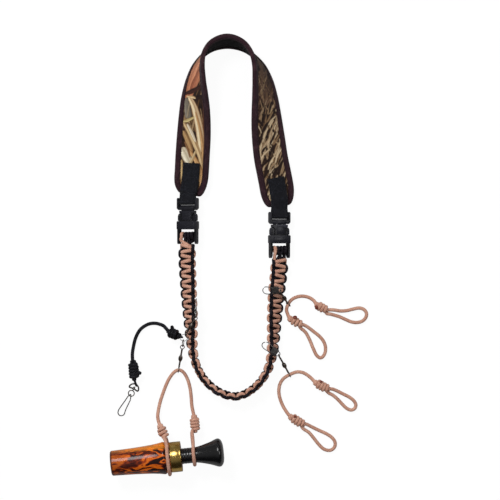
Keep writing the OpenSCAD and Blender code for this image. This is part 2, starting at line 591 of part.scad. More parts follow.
// ---------- black tether with its snap hook ----------
hook_dir = unit([-19.665, -38.41, -1.4]);
d_bar = [-122.13, -153.755, 3]; // middle of the D ring's bar
d_r = 5.7;
hook_stem_r = 0.65;
hook_eye_r = 3.4;
tether_knot_r = 6.2;
tether_knot_ends = [
    [[-69.23, -92.805, 10.6], [-82.11, -87.745, 6.6]],
    [[-122.59, -122.935, 6.6], [-121.555, -140.185, 6.6]]];
tether_way = [
    [-82.11, -87.285, 6.2], [-85.33, -83.605, 4.2], [-89.01, -80.615, 2.7],
    [-97.175, -78.43, 2.25], [-105.915, -79.695, 2.25], [-114.54, -85.675, 2.25],
    [-119.945, -95.45, 2.25], [-122.705, -106.95, 2.4], [-123.625, -114.655, 3.2],
    [-123.05, -122.245, 5.8]];
// Where the tether holds the split ring, on its -X side
hold_dir = unit(cross(ring_axis, left_dir + link_dir));
ring_hold = ring_at + ring_r * (hold_dir[0] < 0 ? hold_dir : -hold_dir);

// Flattened bight from start to end and back, open in the middle
module tie_bight(start, end) {
    reach = norm(end - start);
    dir = unit(end - start);
    flat = unit(cross(dir, [0, 0, 1]));
    up = cross(flat, dir);
    translate(start)
        tube(smooth([dir * 0.2 + up * 2.1, dir * (reach * 0.5) + up * 2.3,
            dir * (reach - 0.1) + up * 2.15, dir * (reach + 2.05),
            dir * (reach - 0.1) - up * 2.15, dir * (reach * 0.5) - up * 2.3,
            dir * 0.2 - up * 2.1], 3), 1.05, 6, flat);
}
module tether_cord() color(tether_black) {
    tube(smooth(tether_way, 3), cord_r + 0.1);
    // small bights that hold the split ring and the D ring
    tie_bight(tether_knot_ends[0][0], ring_hold);
    tie_bight(tether_knot_ends[1][1], d_bar - d_r * hook_dir);
}
module tether_knots() color(tether_black) knots(tether_knot_ends, tether_knot_r);

// Hook frame: the origin is the middle of the D ring's bar, +Z runs to the hook's bow
module hook_place() multmatrix(frame_z(d_bar, hook_dir, [0, 0, 1])) children();

// D ring: bent wire; its bar has a bored boss for the hook's stem
module hook_d_ring() color([0.42, 0.41, 0.4]) hook_place() {
    difference() {
        union() {
            rotate([0, 90, 0]) cylinder(h = 12.4, r = 0.8, center = true, $fn = 32);
            cylinder(h = 2.2, r = 1.5, center = true, $fn = 32);
        }
        cylinder(h = 6, r = hook_stem_r + run, center = true, $fn = 32);
    }
    difference() {
        rotate([90, 0, 0]) ring(d_r, 0.75);
        translate([-10, -5, 0]) cube([20, 10, 20]);
    }
}
// Swivel eye beyond the D ring, free to turn on its stem
module hook_swivel_eye() color([0.3, 0.28, 0.27]) hook_place() {
    translate([0, 0, -2]) cylinder(h = 5, r = hook_stem_r, $fn = 32);
    translate([0, 0, -2.4]) cylinder(h = 1.1, r = 1.25, $fn = 32);
    translate([0, 0, 2.6 + hook_eye_r]) rotate([90, 0, 0]) ring(hook_eye_r, 0.6);
}
// Spring wire hook: it passes through the eye, runs round the bow and ends in the catch
hook_wire_way = [[2.2, -1, 12.7], [1.5, -1.35, 10.6], [0.7, -1.15, 8.6], [-0.1, 0, 7.6],
    [-1, 1.15, 8.6], [-1.8, 1.35, 11], [-2.3, 0.8, 15], [-3, 0, 20], [-3.9, 0, 26],
    [-4.2, 0, 30], [-3.3, 0, 33.3], [-0.7, 0, 34.8], [2.1, 0, 34], [3.6, 0, 31.6],
    [3.5, 0, 29.2]];
hook_gate_way = [[2.6, -0.7, 14.3], [2.6, -0.3, 16.8], [2.7, 0, 20], [2.8, 0, 24],
    [2.9, 0, 27.4]];
module hook_wire() color(hook_silver) hook_place()
    tube(smooth(hook_wire_way, 3), wire_r, 6, [0.3, 0, 1]);
module hook_gate() color(hook_silver) hook_place()
    tube(smooth(hook_gate_way, 3), wire_r, 6, [0, 1, 0]);

// ---------- duck call, in its own frame ----------
// Local +Z runs from the mouth end to the bell, +X is up from the table once placed.
// Turned outlines are radius, z.
chamber_r = 8.6;
barrel_len = 80.8;
band_seat_r = 15.7;
band_bore_r = band_seat_r + 0.03;
tenon_r = 8.3;
seal_z = [64.5, 74.5];  // middles of the two seal grooves
seal_floor_r = 7.1;
seal_half = 1.1;
neck_r = 8.9;
neck_groove_r = 8.5;

module call_place()
    translate(call_mouth) rotate([0, 0, call_tilt]) rotate([0, 90, 0]) rotate([0, 0, 180])
        children();

module call_barrel() color([0.62, 0.27, 0.06]) call_place()
    rotate_extrude($fn = 96) polygon([
        [mouth_bore_r, 0], [12.6, 0], [13.5, 0.35], [14.1, 1], [14.3, 2], [14.45, 8],
        [14.7, 16], [15, 24], [15.4, 32], [15.9, 40], [16.5, 47.5], [17.3, 54],
        [18.1, 58.6], [18.5, 60.8], [18.45, 61.8], [17.9, 62.6], [17.1, 63.4], [17, 64],
        [17, 68.5], [band_seat_r, 68.5], [band_seat_r, barrel_len], [chamber_r, barrel_len],
        [chamber_r, mouth_bore_l], [mouth_bore_r, mouth_bore_l]]);

module call_band() color([0.78, 0.66, 0.3]) call_place()
    rotate_extrude($fn = 96) polygon([[band_bore_r, 68.56], [17, 68.56], [17.3, 68.9],
        [17.3, 80.6], [17, 80.9], [band_bore_r, 80.9]]);

// Tenon with two seal grooves, neck with two shallow grooves, and bell
insert_outline = concat(
    [[0, 60], [tenon_r, 60]],
    [for (z = seal_z) each [[tenon_r, z - seal_half], [seal_floor_r, z - seal_half],
        [seal_floor_r, z + seal_half], [tenon_r, z + seal_half]]],
    [[tenon_r, 80.98], [neck_r, 80.98]],
    [for (z = [82.6, 86.4]) each [[neck_r, z], [neck_groove_r, z + 0.4],
        [neck_groove_r, z + 1.8], [neck_r, z + 2.2]]],
    [[8.9, 92.8], [8.7, 94], [8.8, 97], [9.3, 100.4], [10.2, 104.6], [11.5, 109.4],
        [13.2, 114.2], [15, 118.2], [15.9, 120.2], [16.2, 121.4], [16.1, 122.6],
        [15.4, 124.2], [14, 126.2], [12, 127.9], [10, 128.9], [8.4, 129.4], [0, 129.4]]);
// Half round with a flat top that falls away to the tip; the outline is x, z
module tone_board() intersection() {
    translate([0, 0, 33.5]) cylinder(h = 27, r = 7.6, $fn = 64);
    rotate([90, 0, 0]) linear_extrude(20, center = true)
        polygon([[0, 61], [0, 49], [-0.3, 43], [-1.1, 37], [-2, 33], [-9, 33], [-9, 61]]);
}
module call_insert() color([0.03, 0.03, 0.035]) call_place() difference() {
    union() {
        rotate_extrude($fn = 96) polygon(insert_outline);
        tone_board();
    }
    // sound channel in the board, then the bore through the tenon, then the exhaust
    translate([-4.2, -2.6, 36.5]) cube([6, 5.2, 25]);
    translate([0, 0, 60.4]) cylinder(h = 44, r = 4.6, $fn = 48);
    translate([0, 0, 104]) cylinder(h = 30, r = exhaust_r, $fn = 64);
}

// Cork block that clamps the reeds down on the board
module call_wedge() color([0.72, 0.56, 0.38]) call_place() intersection() {
    translate([0, 0, 51]) cylinder(h = 8.8, r = 7.5, $fn = 64);
    translate([0.72, -10, 50]) cube([10, 20, 12]);
}

// Reed at a height over the board, with its tip at z = tip; the outline is -z, y
module reed(height, tip) color([0.92, 0.93, 0.9]) call_place()
    translate([height, 0, 0]) rotate([0, 90, 0]) linear_extrude(0.25)
        polygon([[-59.8, -6], [-59.8, 6], [-tip - 2, 6], [-tip - 0.5, 5],
            [-tip, 3], [-tip, -3], [-tip - 0.5, -5], [-tip - 2, -6]]);
module call_reed_long() reed(0.06, 34.6);
module call_reed_short() reed(0.38, 37.4);
module call_o_rings() color([0.02, 0.02, 0.02]) call_place()
    for (z = seal_z) translate([0, 0, z]) ring(7.85, 0.72);

neck_pad_foam();
neck_pad_face();
neck_pad_lining();
neck_pad_binding();
left_web_tab();
right_web_tab();
left_buckle_male();
left_buckle_female();
left_latch_outer();
left_latch_inner();
right_buckle_male();
right_buckle_female();
right_latch_outer();
right_latch_inner();
braid_core_cords();
braid_tan_cord();
braid_black_cord();
left_snap_wire();
left_snap_gate();
left_snap_clasp();
left_swivel_upper_eye();
left_swivel_barrel();
left_swivel_lower_eye();
split_ring();
call_chain_link();
call_swivel_upper_eye();
call_swivel_barrel();
call_swivel_lower_eye();
upper_snap_wire();
upper_snap_gate();
upper_snap_clasp();
upper_swivel_top_eye();
upper_swivel_barrel();
upper_swivel_low_eye();
lower_snap_wire();
lower_snap_gate();
lower_snap_clasp();
lower_swivel_top_eye();
lower_swivel_barrel();
lower_swivel_low_eye();
upper_drop_cord();
upper_drop_knots();
lower_drop_cord();
lower_drop_knots();
call_drop_cord();
call_drop_knots();
tether_cord();
tether_knots();
hook_d_ring();
hook_swivel_eye();
hook_wire();
hook_gate();
call_barrel();
call_band();
call_insert();
call_wedge();
call_reed_long();
call_reed_short();
call_o_rings();
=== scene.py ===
"""A duck call on a lanyard, laid flat on a pale table.

A padded neck strap makes the top of the loop (+Y) and a woven braid the bottom (-Y), joined
by a buckle on each side. Cord drops hang from the braid by snaps and swivels: two on the
right (+X), and on the left (-X) one with the call and a black tether with a wire hook.
Shapes are in millimetres with +Z up from the table; Bag.make turns them into metres.
"""
import bpy
import bmesh
import json
import math
import random
from math import sin, cos, radians, pi
import numpy as np
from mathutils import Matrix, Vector, noise as mnoise

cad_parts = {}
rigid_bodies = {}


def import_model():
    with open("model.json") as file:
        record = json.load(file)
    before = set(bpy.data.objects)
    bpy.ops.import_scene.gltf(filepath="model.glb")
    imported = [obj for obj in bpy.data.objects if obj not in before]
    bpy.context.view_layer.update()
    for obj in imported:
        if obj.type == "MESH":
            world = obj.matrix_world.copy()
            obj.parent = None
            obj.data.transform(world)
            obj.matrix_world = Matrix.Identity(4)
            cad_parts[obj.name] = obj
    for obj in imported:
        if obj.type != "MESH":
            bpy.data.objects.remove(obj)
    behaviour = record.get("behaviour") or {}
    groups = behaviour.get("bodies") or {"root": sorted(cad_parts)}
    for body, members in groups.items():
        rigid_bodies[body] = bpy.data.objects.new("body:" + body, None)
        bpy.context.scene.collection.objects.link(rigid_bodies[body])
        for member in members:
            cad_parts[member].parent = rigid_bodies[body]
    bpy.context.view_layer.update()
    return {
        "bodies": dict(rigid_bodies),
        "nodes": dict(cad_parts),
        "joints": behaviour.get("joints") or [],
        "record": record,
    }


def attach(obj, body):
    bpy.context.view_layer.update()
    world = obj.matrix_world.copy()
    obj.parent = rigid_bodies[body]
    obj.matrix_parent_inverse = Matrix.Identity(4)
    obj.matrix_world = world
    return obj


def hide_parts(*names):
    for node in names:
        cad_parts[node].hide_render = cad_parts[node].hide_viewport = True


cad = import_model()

MM = 0.001


# ---------------------------------------------------------------- vectors, curves, frames
def vec(*values):
    return np.array(values, float)


UP = vec(0, 0, 1)


def unit(v):
    v = np.asarray(v, float)
    size = np.linalg.norm(v)
    return v / size if size > 1e-12 else v


def catmull(a, b, c, d, t):
    return 0.5 * (2 * b + (c - a) * t + (2 * a - 5 * b + 4 * c - d) * t * t
                  + (3 * b - a - 3 * c + d) * t ** 3)


def smooth(points, steps):
    """Open Catmull-Rom curve through the points, a number of steps to each span."""
    p = [np.asarray(q, float) for q in points]
    last = len(p) - 1
    return [catmull(p[max(i - 1, 0)], p[i], p[i + 1], p[min(i + 2, last)], j / steps)
            for i in range(last) for j in range(steps)] + [p[-1]]


def lengths(points, closed=False):
    """Running distance at each point, and once more back at the first if closed."""
    p = [np.asarray(q, float) for q in points]
    if closed:
        p.append(p[0])
    total = [0.0]
    for a, b in zip(p, p[1:]):
        total.append(total[-1] + float(np.linalg.norm(b - a)))
    return total


def pose(x, y, z, origin):
    M = np.eye(4)
    M[:3] = np.column_stack((x, y, z, origin))
    return M


def pose_z(origin, axis, side):
    """Frame with Z along the axis and X square to the side."""
    z = unit(axis)
    x = unit(np.cross(side, z))
    return pose(x, np.cross(z, x), z, origin)


def pose_x(origin, axis, side):
    """Frame with X along the axis and Z square to the side."""
    x = unit(axis)
    z = unit(np.cross(x, side))
    return pose(x, np.cross(z, x), z, origin)


def pose_rolled(origin, degrees):
    """Frame turned about the world's Y."""
    c, s = cos(radians(degrees)), sin(radians(degrees))
    return pose((c, 0, -s), (0, 1, 0), (s, 0, c), origin)


def place(M, p):
    return (M @ np.array([p[0], p[1], p[2], 1.0]))[:3]


def place_all(M, points):
    return [place(M, p) for p in points]


def turn(M, v):
    return M[:3, :3] @ np.asarray(v, float)


def circle(M, radius, count, z=0.0):
    """Points once round the frame's Z."""
    angles = [2 * pi * i / count for i in range(count)]
    return [place(M, (radius * cos(a), radius * sin(a), z)) for a in angles]


def flip(points):
    """The points in reverse order with the second coordinate negated."""
    return [(a, -b) for a, b in reversed(points)]


# ---------------------------------------------------------------- mesh bag
ROUND_END = (0.02, 0.5, 0.86)      # fractions of the way from the tip to the full section


class Bag:
    """Collects closed skins, in millimetres, into one object."""
    def __init__(self):
        self.verts, self.faces, self.uvs, self.face_mats = [], [], [], []
        self.material = 0          # slot of the faces added next

    def face(self, indices, uvs):
        self.faces.append(indices)
        self.uvs.append(uvs)
        self.face_mats.append(self.material)

    def skin(self, rings, closed=False, us=None, vs=None):
        """Joins rings of points; an open skin is capped at both ends."""
        m, n, base = len(rings), len(rings[0]), len(self.verts)
        for ring in rings:
            self.verts.extend(tuple(p) for p in ring)
        us = us or [k / n for k in range(n + 1)]
        vs = vs or lengths([np.mean(np.array(ring), axis=0) for ring in rings])
        for i in range(m if closed else m - 1):
            a, b = base + i * n, base + (i + 1) % m * n
            for k in range(n):
                l = (k + 1) % n
                self.face((a + k, a + l, b + l, b + k),
                          ((us[k], vs[i]), (us[k + 1], vs[i]),
                           (us[k + 1], vs[i + 1]), (us[k], vs[i + 1])))
        if not closed:
            for i, order in ((0, -1), (m - 1, 1)):
                indices = tuple(range(base + i * n, base + (i + 1) * n))[::order]
                self.face(indices, tuple((us[k], vs[i]) for k in range(n)))

    def sweep(self, stations, n, closed=False, cap=0.0):
        """Oval section along stations of (centre, tangent, two section directions, their two
        half sizes). cap is the texture length of each rounded end, 0 for flat ends."""
        def ring(station, shift=0.0, scale=1.0):
            centre, tangent, e, f, a, b = station
            centre = centre + tangent * b * shift * 0.8
            return [centre + a * scale * cos(2 * pi * k / n) * e
                    + b * scale * sin(2 * pi * k / n) * f for k in range(n)]
        rings = [ring(s) for s in stations]
        vs = lengths([s[0] for s in stations], closed)
        if cap:
            ends = [(1 - q, math.sqrt(1 - (1 - q) ** 2)) for q in ROUND_END]
            rings = ([ring(stations[0], -g, k) for g, k in ends] + rings
                     + [ring(stations[-1], g, k) for g, k in ends[::-1]])
            vs = [-cap * g for g, _ in ends] + vs + [vs[-1] + cap * g for g, _ in ends[::-1]]
        self.skin(rings, closed, vs=vs)

    def tube(self, path, r, n=12, side=UP, closed=False, round_ends=True):
        """Round section carried along a path without twist."""
        P = [np.asarray(p, float) for p in path]
        m = len(P)
        if closed:
            T = [unit(P[(i + 1) % m] - P[i - 1]) for i in range(m)]
        else:
            T = [unit(P[min(i + 1, m - 1)] - P[max(i - 1, 0)]) for i in range(m)]
        start = np.cross(T[0], side)
        if np.linalg.norm(start) < 0.1:
            start = np.cross(T[0], vec(1, 0.3, 0.2))
        E = [unit(start)]
        for t in T[1:]:
            E.append(unit(E[-1] - t * float(np.dot(E[-1], t))))
        if closed:
            # the twist left over at the join is spread evenly round the loop
            last = unit(E[-1] - T[0] * float(np.dot(E[-1], T[0])))
            twist = math.atan2(float(np.dot(np.cross(last, E[0]), T[0])),
                               float(np.dot(last, E[0])))
            for i in range(m):
                w = twist * i / m
                E[i] = E[i] * cos(w) + np.cross(T[i], E[i]) * sin(w)
        stations = [(p, t, e, np.cross(t, e), r, r) for p, t, e in zip(P, T, E)]
        self.sweep(stations, n, closed, cap=r if round_ends and not closed else 0.0)

    def ribbon(self, rows, size=1.0, n=12):
        """Oval section from rows of 8: place, outward direction, half width, half depth."""
        m, stations = len(rows), []
        for i, row in enumerate(rows):
            t = unit(rows[min(i + 1, m - 1)][:3] - rows[max(i - 1, 0)][:3])
            e = unit(np.cross(t, row[3:6]))
            stations.append((row[:3], t, e, -np.cross(t, e), size * row[6], size * row[7]))
        self.sweep(stations, n, cap=1.0)

    def lathe(self, profile, M, n):
        """Turns (radius, z) points about the frame's Z. The profile starts and ends on the
        axis or closes on itself."""
        closed = profile[0][0] >= 1e-6
        if not closed:
            profile = profile[1:-1]
        self.skin([circle(M, r, n, z) for r, z in profile], closed,
                  vs=lengths(profile, closed))

    def make(self, name, body, materials, slot, node=None, sharp=None):
        mesh = bpy.data.meshes.new(name)
        mesh.from_pydata([(p[0] * MM, p[1] * MM, p[2] * MM) for p in self.verts], [],
                         self.faces)
        layer = mesh.uv_layers.new(name="UVMap")
        layer.data.foreach_set("uv", [c for face in self.uvs for uv in face for c in uv])
        for material in materials if isinstance(materials, list) else [materials]:
            mesh.materials.append(material)
        mesh.polygons.foreach_set("material_index", self.face_mats)
        mesh.polygons.foreach_set("use_smooth", [True] * len(mesh.polygons))
        mesh.update()
        mesh.validate()
        bm = bmesh.new()
        bm.from_mesh(mesh)
        bmesh.ops.recalc_face_normals(bm, faces=bm.faces)
        bm.to_mesh(mesh)
        bm.free()
        if sharp:
            mesh.set_sharp_from_angle(angle=radians(sharp))
        ob = bpy.data.objects.new(name, mesh)
        bpy.context.scene.collection.objects.link(ob)
        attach(ob, body)
        if node:
            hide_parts(node)
        return ob


# ---------------------------------------------------------------- shader builder
def linear(color):
    """Linear RGBA of an sRGB colour in bytes."""
    return tuple((v / 255 / 12.92 if v / 255 <= 0.04045 else ((v / 255 + 0.055) / 1.055) ** 2.4)
                 for v in color) + (1.0,)


def operator(name, swapped=False):
    def apply(a, b):
        return a.shader.math(name, b, a) if swapped else a.shader.math(name, a, b)
    return apply


class Signal:
    """A node's output. Arithmetic on it adds one Math node to each operation."""
    def __init__(self, shader, socket):
        self.shader, self.socket = shader, socket
    __add__ = operator("ADD")
    __sub__ = operator("SUBTRACT")
    __mul__ = operator("MULTIPLY")
    __truediv__ = operator("DIVIDE")
    __radd__ = operator("ADD", swapped=True)
    __rsub__ = operator("SUBTRACT", swapped=True)


class Shader:
    def __init__(self, tree):
        self.tree = tree

    def put(self, socket, value):
        """Links or sets an input. A colour of three numbers is sRGB bytes, of four linear."""
        if isinstance(value, Signal):
            self.tree.links.new(value.socket, socket)
        elif socket.type == "RGBA" and len(value) == 3:
            socket.default_value = linear(value)
        else:
            socket.default_value = value

    def node(self, kind, **properties):
        node = self.tree.nodes.new("ShaderNode" + kind)
        for key, value in properties.items():
            setattr(node, key, value)
        return node

    def out(self, node, key):
        return Signal(self, node.outputs[key])

    def add(self, kind, inputs, output=0, **properties):
        node = self.node(kind, **properties)
        for key, value in inputs.items():
            self.put(node.inputs[key], value)
        return self.out(node, output)

    def uv(self):
        """U and V."""
        return self.split(self.add("TexCoord", {}, "UV"))[:2]

    def split(self, vector):
        node = self.node("SeparateXYZ")
        self.put(node.inputs[0], vector)
        return [self.out(node, i) for i in range(3)]

    def join(self, x, y, z=0.0):
        return self.add("CombineXYZ", {0: x, 1: y, 2: z})

    def math(self, operation, *operands):
        return self.add("Math", dict(enumerate(operands)), operation=operation)

    def wave(self, a):
        """Sine between 0 and 1, with a period of 1."""
        return self.math("MULTIPLY_ADD", self.math("SINE", a * (2 * pi)), 0.5, 0.5)

    def local(self, scale):
        """Object coordinates (metres) times one scale, or one for each axis."""
        scale = scale if isinstance(scale, tuple) else (scale,) * 3
        return self.add("VectorMath", {0: self.add("TexCoord", {}, "Object"), 1: scale},
                        operation="MULTIPLY")

    def noise(self, vector, detail=3.0, rough=0.5, distortion=0.0, output="Fac"):
        return self.add("TexNoise", {"Vector": vector, "Scale": 1.0, "Detail": detail,
                                     "Roughness": rough, "Distortion": distortion}, output)

    def grain(self, scale, detail=3.0):
        return self.noise(self.local(scale), detail)

    def cells(self, scale):
        return self.add("TexVoronoi", {"Vector": self.local(scale), "Scale": 1.0,
                                       "Randomness": 1.0}, "Distance", feature="F1")

    def step(self, value, over, to=(0.0, 1.0)):
        """Smooth step: the range over is carried to the range to."""
        return self.add("MapRange", {0: value, 1: over[0], 2: over[1], 3: to[0], 4: to[1]},
                        interpolation_type="SMOOTHSTEP")

    def mix(self, factor, a, b):
        return self.add("Mix", {0: factor, 6: a, 7: b}, 2, data_type="RGBA", blend_type="MIX")

    def ramp(self, factor, stops):
        node = self.node("ValToRGB")
        self.put(node.inputs[0], factor)
        elements = node.color_ramp.elements
        while len(elements) < len(stops):
            elements.new(0.5)
        for element, (position, color) in zip(elements, stops):
            element.position = position
            element.color = linear(color)
        return self.out(node, 0)

    def bump(self, height, mm, strength=1.0, under=None):
        """Relief so many millimetres deep, over another normal if given."""
        inputs = {"Strength": strength, "Distance": mm * MM, "Height": height}
        if under:
            inputs["Normal"] = under
        return self.add("Bump", inputs)


class Material(Shader):
    def __init__(self, name):
        self.material = bpy.data.materials.new(name)
        self.material.use_nodes = True
        super().__init__(self.material.node_tree)
        self.tree.nodes.clear()
        self.output, self.principled = self.node("OutputMaterial"), self.node("BsdfPrincipled")
        self.put(self.output.inputs[0], self.out(self.principled, 0))

    def surface(self, **inputs):
        for key, value in inputs.items():
            self.put(self.principled.inputs[key.replace("_", " ")], value)
        return self.material


# ---------------------------------------------------------------- materials
def cord(name, shade, body, light, carriers=8, pick=2.3, fleck=None, depth=0.5, sheen=0.2,
         specular=0.25):
    """Braided sheath: two sets of strands cross round the cord. U goes once round, V runs
    along in mm. pick is the height of one crossing."""
    m = Material(name)
    around, along = m.uv()
    p, q = around * float(carriers), along / pick
    strands = m.math("MAXIMUM", m.wave(p + q), m.wave(p - q))
    fibres = m.wave(p * 4.0 + q * 4.0)
    patches, fuzz = m.grain(120), m.grain(1500)
    color = m.mix(m.step(strands, over=(0.35, 0.95), to=(1.0 - depth, 1.0)), shade, body)
    color = m.mix(m.step(patches, over=(0.35, 0.8), to=(0.0, 0.5)), color, light)
    color = m.mix(m.step(fuzz, over=(0.35, 0.75), to=(0.0, 0.35)), color, shade)
    if fleck:
        color = m.mix(m.step(fuzz, over=(0.6, 0.72), to=(0.0, 0.4)), color, fleck)
    return m.surface(
        Base_Color=color, Roughness=m.step(strands, over=(0.0, 1.0), to=(0.85, 0.62)),
        Sheen_Weight=sheen, Sheen_Roughness=0.45, Sheen_Tint=light,
        Specular_IOR_Level=specular,
        Normal=m.bump(strands + fibres * 0.2, mm=0.2, strength=0.75))


def burnt():
    m = Material("melted_cord_end")
    n = m.grain(500, detail=4.0)
    return m.surface(Base_Color=m.mix(n, (62, 20, 12), (128, 58, 40)),
                     Roughness=m.step(n, over=(0.3, 0.7), to=(0.16, 0.4)), Coat_Weight=0.6,
                     Normal=m.bump(n, mm=0.4, strength=0.7))


def webbing():
    """Woven tape in a zigzag twill: U runs across in mm, V along in mm."""
    m = Material("black_webbing")
    x, y = m.uv()
    zigzag = m.math("ABSOLUTE", m.math("FRACT", x / 4.0) - 0.5)
    rib = m.wave(y / 1.25 + zigzag * 3.2)
    weave = rib * 0.7 + m.wave(x / 0.8) * 0.3
    color = m.mix(weave, (5, 5, 8), (24, 25, 31))
    color = m.mix(m.step(m.grain(300), over=(0.5, 0.85), to=(0.0, 0.5)), color, (36, 38, 47))
    return m.surface(Base_Color=color, Roughness=0.78, Sheen_Weight=0.06,
                     Specular_IOR_Level=0.2, Normal=m.bump(weave, mm=0.28, strength=0.9))


def binding():
    m = Material("brown_edge_binding")
    x, y = m.uv()
    weave = (m.wave(y / 0.9) + m.wave(x / 0.55)) * 0.5
    n = m.grain(140, detail=4.0)
    color = m.mix(weave, (24, 12, 17), (50, 29, 36))
    color = m.mix(m.step(n, over=(0.45, 0.8)) * 0.5, color, (70, 46, 50))
    return m.surface(Base_Color=color, Roughness=0.8, Sheen_Weight=0.06,
                     Specular_IOR_Level=0.2,
                     Normal=m.bump(weave + n * 1.2, mm=0.25, strength=0.8))


def lining():
    """Dark mesh with diagonal holes 1.7 mm apart."""
    m = Material("dark_mesh_lining")
    x, y = m.uv()
    mesh = m.wave((x + y) / 1.7) * m.wave((x - y) / 1.7)
    color = m.mix(m.step(mesh, over=(0.05, 0.4)), (3, 3, 4), (15, 12, 16))
    color = m.mix(m.grain(120) * 0.2, color, (30, 25, 31))
    return m.surface(Base_Color=color, Roughness=0.9, Sheen_Weight=0.05,
                     Specular_IOR_Level=0.15,
                     Normal=m.bump(m.step(mesh, over=(0.0, 0.5)), mm=0.3, strength=0.9))


def printed():
    """Printed fabric: the drawing is the colour attribute painted below; weave and wear are
    nodes."""
    m = Material("reed_print_fabric")
    x, y = m.uv()
    color = m.out(m.node("Attribute", attribute_name="print"), "Color")
    weave = (m.wave(x / 0.6) + m.wave(y / 0.6)) * 0.5
    fibre = m.noise(m.join(x * 2.6, y * 0.5))          # drawn out along the strap
    color = m.mix(m.step(fibre, over=(0.5, 0.75), to=(0.0, 0.22)), color, (30, 18, 12))
    color = m.mix((1.0 - weave) * 0.22, color, (18, 12, 9))
    ripple = m.noise(m.join(x * 0.09, y * 0.09, 2.0), detail=2.0)
    color = m.mix(0.2, color, (34, 24, 25))
    return m.surface(Base_Color=color, Roughness=0.85, Sheen_Weight=0.04,
                     Specular_IOR_Level=0.2,
                     Normal=m.bump(weave, mm=0.16, strength=0.8,
                                   under=m.bump(ripple, mm=1.1, strength=0.6)))


def foam():
    m = Material("closed_cell_foam")
    cells = m.cells(1400)
    return m.surface(Base_Color=m.mix(cells, (30, 30, 32), (60, 60, 64)), Roughness=0.95,
                     Normal=m.bump(cells, mm=0.2, strength=0.6))


def plastic():
    """Moulded black, paler along its convex edges, with fine scratches."""
    m = Material("moulded_buckle_black")
    edge = m.out(m.node("NewGeometry"), "Pointiness")
    color = m.mix(m.step(edge, over=(0.5, 0.62)), (10, 10, 13), (46, 46, 56))
    color = m.mix(m.step(m.grain(90), over=(0.5, 0.8)) * 0.3, color, (22, 22, 28))
    scratches = m.grain((300, 2600, 900), detail=2.0)
    return m.surface(Base_Color=color, Specular_IOR_Level=0.42,
                     Roughness=0.3 + m.step(scratches, over=(0.55, 0.75)) * 0.22,
                     Normal=m.bump(m.grain(3800, detail=2.0), mm=0.05, strength=0.5))


def metal(name, dark, light, rough, worn=None):
    m = Material(name)
    n, fine = m.grain(700, detail=4.0), m.grain((2600, 2600, 300), detail=2.0)
    color = m.mix(m.step(n, over=(0.35, 0.7)), dark, light)
    if worn:
        color = m.mix(m.step(n, over=(0.58, 0.7)) * 0.6, color, worn)
    return m.surface(Base_Color=color, Metallic=1.0, Roughness=rough + fine * 0.18,
                     Normal=m.bump(fine, mm=0.03, strength=0.4))


def brass():
    m = Material("polished_brass")
    x, y = m.uv()
    lines = m.noise(m.join(x * 3.0, y * 9.0))
    tint = m.step(m.grain(220, detail=4.0), over=(0.2, 0.9))
    return m.surface(Base_Color=m.mix(tint, (222, 178, 90), (238, 204, 124)), Metallic=1.0,
                     Roughness=0.16 + lines * 0.1,
                     Normal=m.bump(lines, mm=0.012, strength=0.3))


def amber(mouth, axis, across):
    """Swirled amber resin with dark streaks drawn out along the call."""
    m = Material("amber_resin")
    position = m.local(1000)

    def coordinate(direction):
        """Millimetres from the mouth's centre along a direction."""
        dot = m.add("VectorMath", {0: position, 1: tuple(direction)}, "Value",
                    operation="DOT_PRODUCT")
        return dot - float(np.dot(direction, mouth))
    s, v, z = coordinate(axis), coordinate(across), coordinate((0, 0, 1))
    # noise coordinates change slowly along the call (s) and faster across it (v, z)
    wx, wy, _ = m.split(m.noise(m.join(s * 0.03, v * 0.06, z * 0.06), detail=2.0,
                                output="Color"))
    slow = m.noise(m.join(s * 0.026, v * 0.085 + wx * 1.9, z * 0.085 + wy * 1.6),
                   detail=2.0, rough=0.45, distortion=0.6)
    fine = m.noise(m.join(s * 0.05, v * 0.6 + wx * 6.0, z * 0.6 + wy * 6.0), rough=0.6)
    # each contour of the slow noise is one poured layer, cut across
    layers = m.wave(slow * 5.2)
    tone = layers * 0.62 + (m.step(slow, over=(0.32, 0.62)) * 0.3 + (fine - 0.5) * 0.42)
    color = m.ramp(tone, [(0.08, (26, 7, 6)), (0.26, (46, 12, 8)), (0.4, (90, 28, 10)),
                          (0.54, (146, 54, 8)), (0.68, (200, 98, 12)), (0.86, (148, 56, 8)),
                          (0.97, (74, 20, 9))])
    # painted light: lighter along the +across edge, the side the key light falls on; deeper
    # towards the mouth, dark at the mouth's rim
    color = m.mix(m.step(v, over=(10.5, 14.0), to=(0.0, 0.6)), color, (222, 130, 28))
    color = m.mix(m.step(s, over=(26.0, 6.0), to=(0.0, 0.45)), color, (70, 22, 9))
    color = m.mix(m.step(s, over=(3.2, 0.8), to=(0.0, 0.8)), color, (40, 14, 8))
    return m.surface(Base_Color=color, Roughness=0.25, Coat_Weight=0.5, Coat_Roughness=0.05,
                     Specular_IOR_Level=0.3, Subsurface_Weight=0.0, Subsurface_Scale=0.003,
                     Subsurface_Radius=(1.0, 0.4, 0.12))


def gloss_black():
    m = Material("polished_black_insert")
    x, y = m.uv()
    lines = m.noise(m.join(x * 2.0, y * 6.0))
    return m.surface(Base_Color=m.mix(m.grain(160), (4, 4, 5), (9, 9, 11)),
                     Roughness=0.14 + lines * 0.16, Coat_Weight=0.9, Coat_Roughness=0.06,
                     Normal=m.bump(lines, mm=0.015, strength=0.4))


def cork():
    m = Material("cork")
    spots = m.step(m.cells(900), over=(0.1, 0.5))
    return m.surface(Base_Color=m.mix(spots, (120, 82, 48), (190, 146, 98)), Roughness=0.9,
                     Normal=m.bump(m.grain(400, detail=4.0), mm=0.3, strength=0.8))


def reed_film():
    m = Material("reed_film")
    color = m.mix(m.grain(300, detail=2.0), (222, 226, 220), (240, 242, 238))
    return m.surface(Base_Color=color, Roughness=0.2, Transmission_Weight=0.4, IOR=1.5)


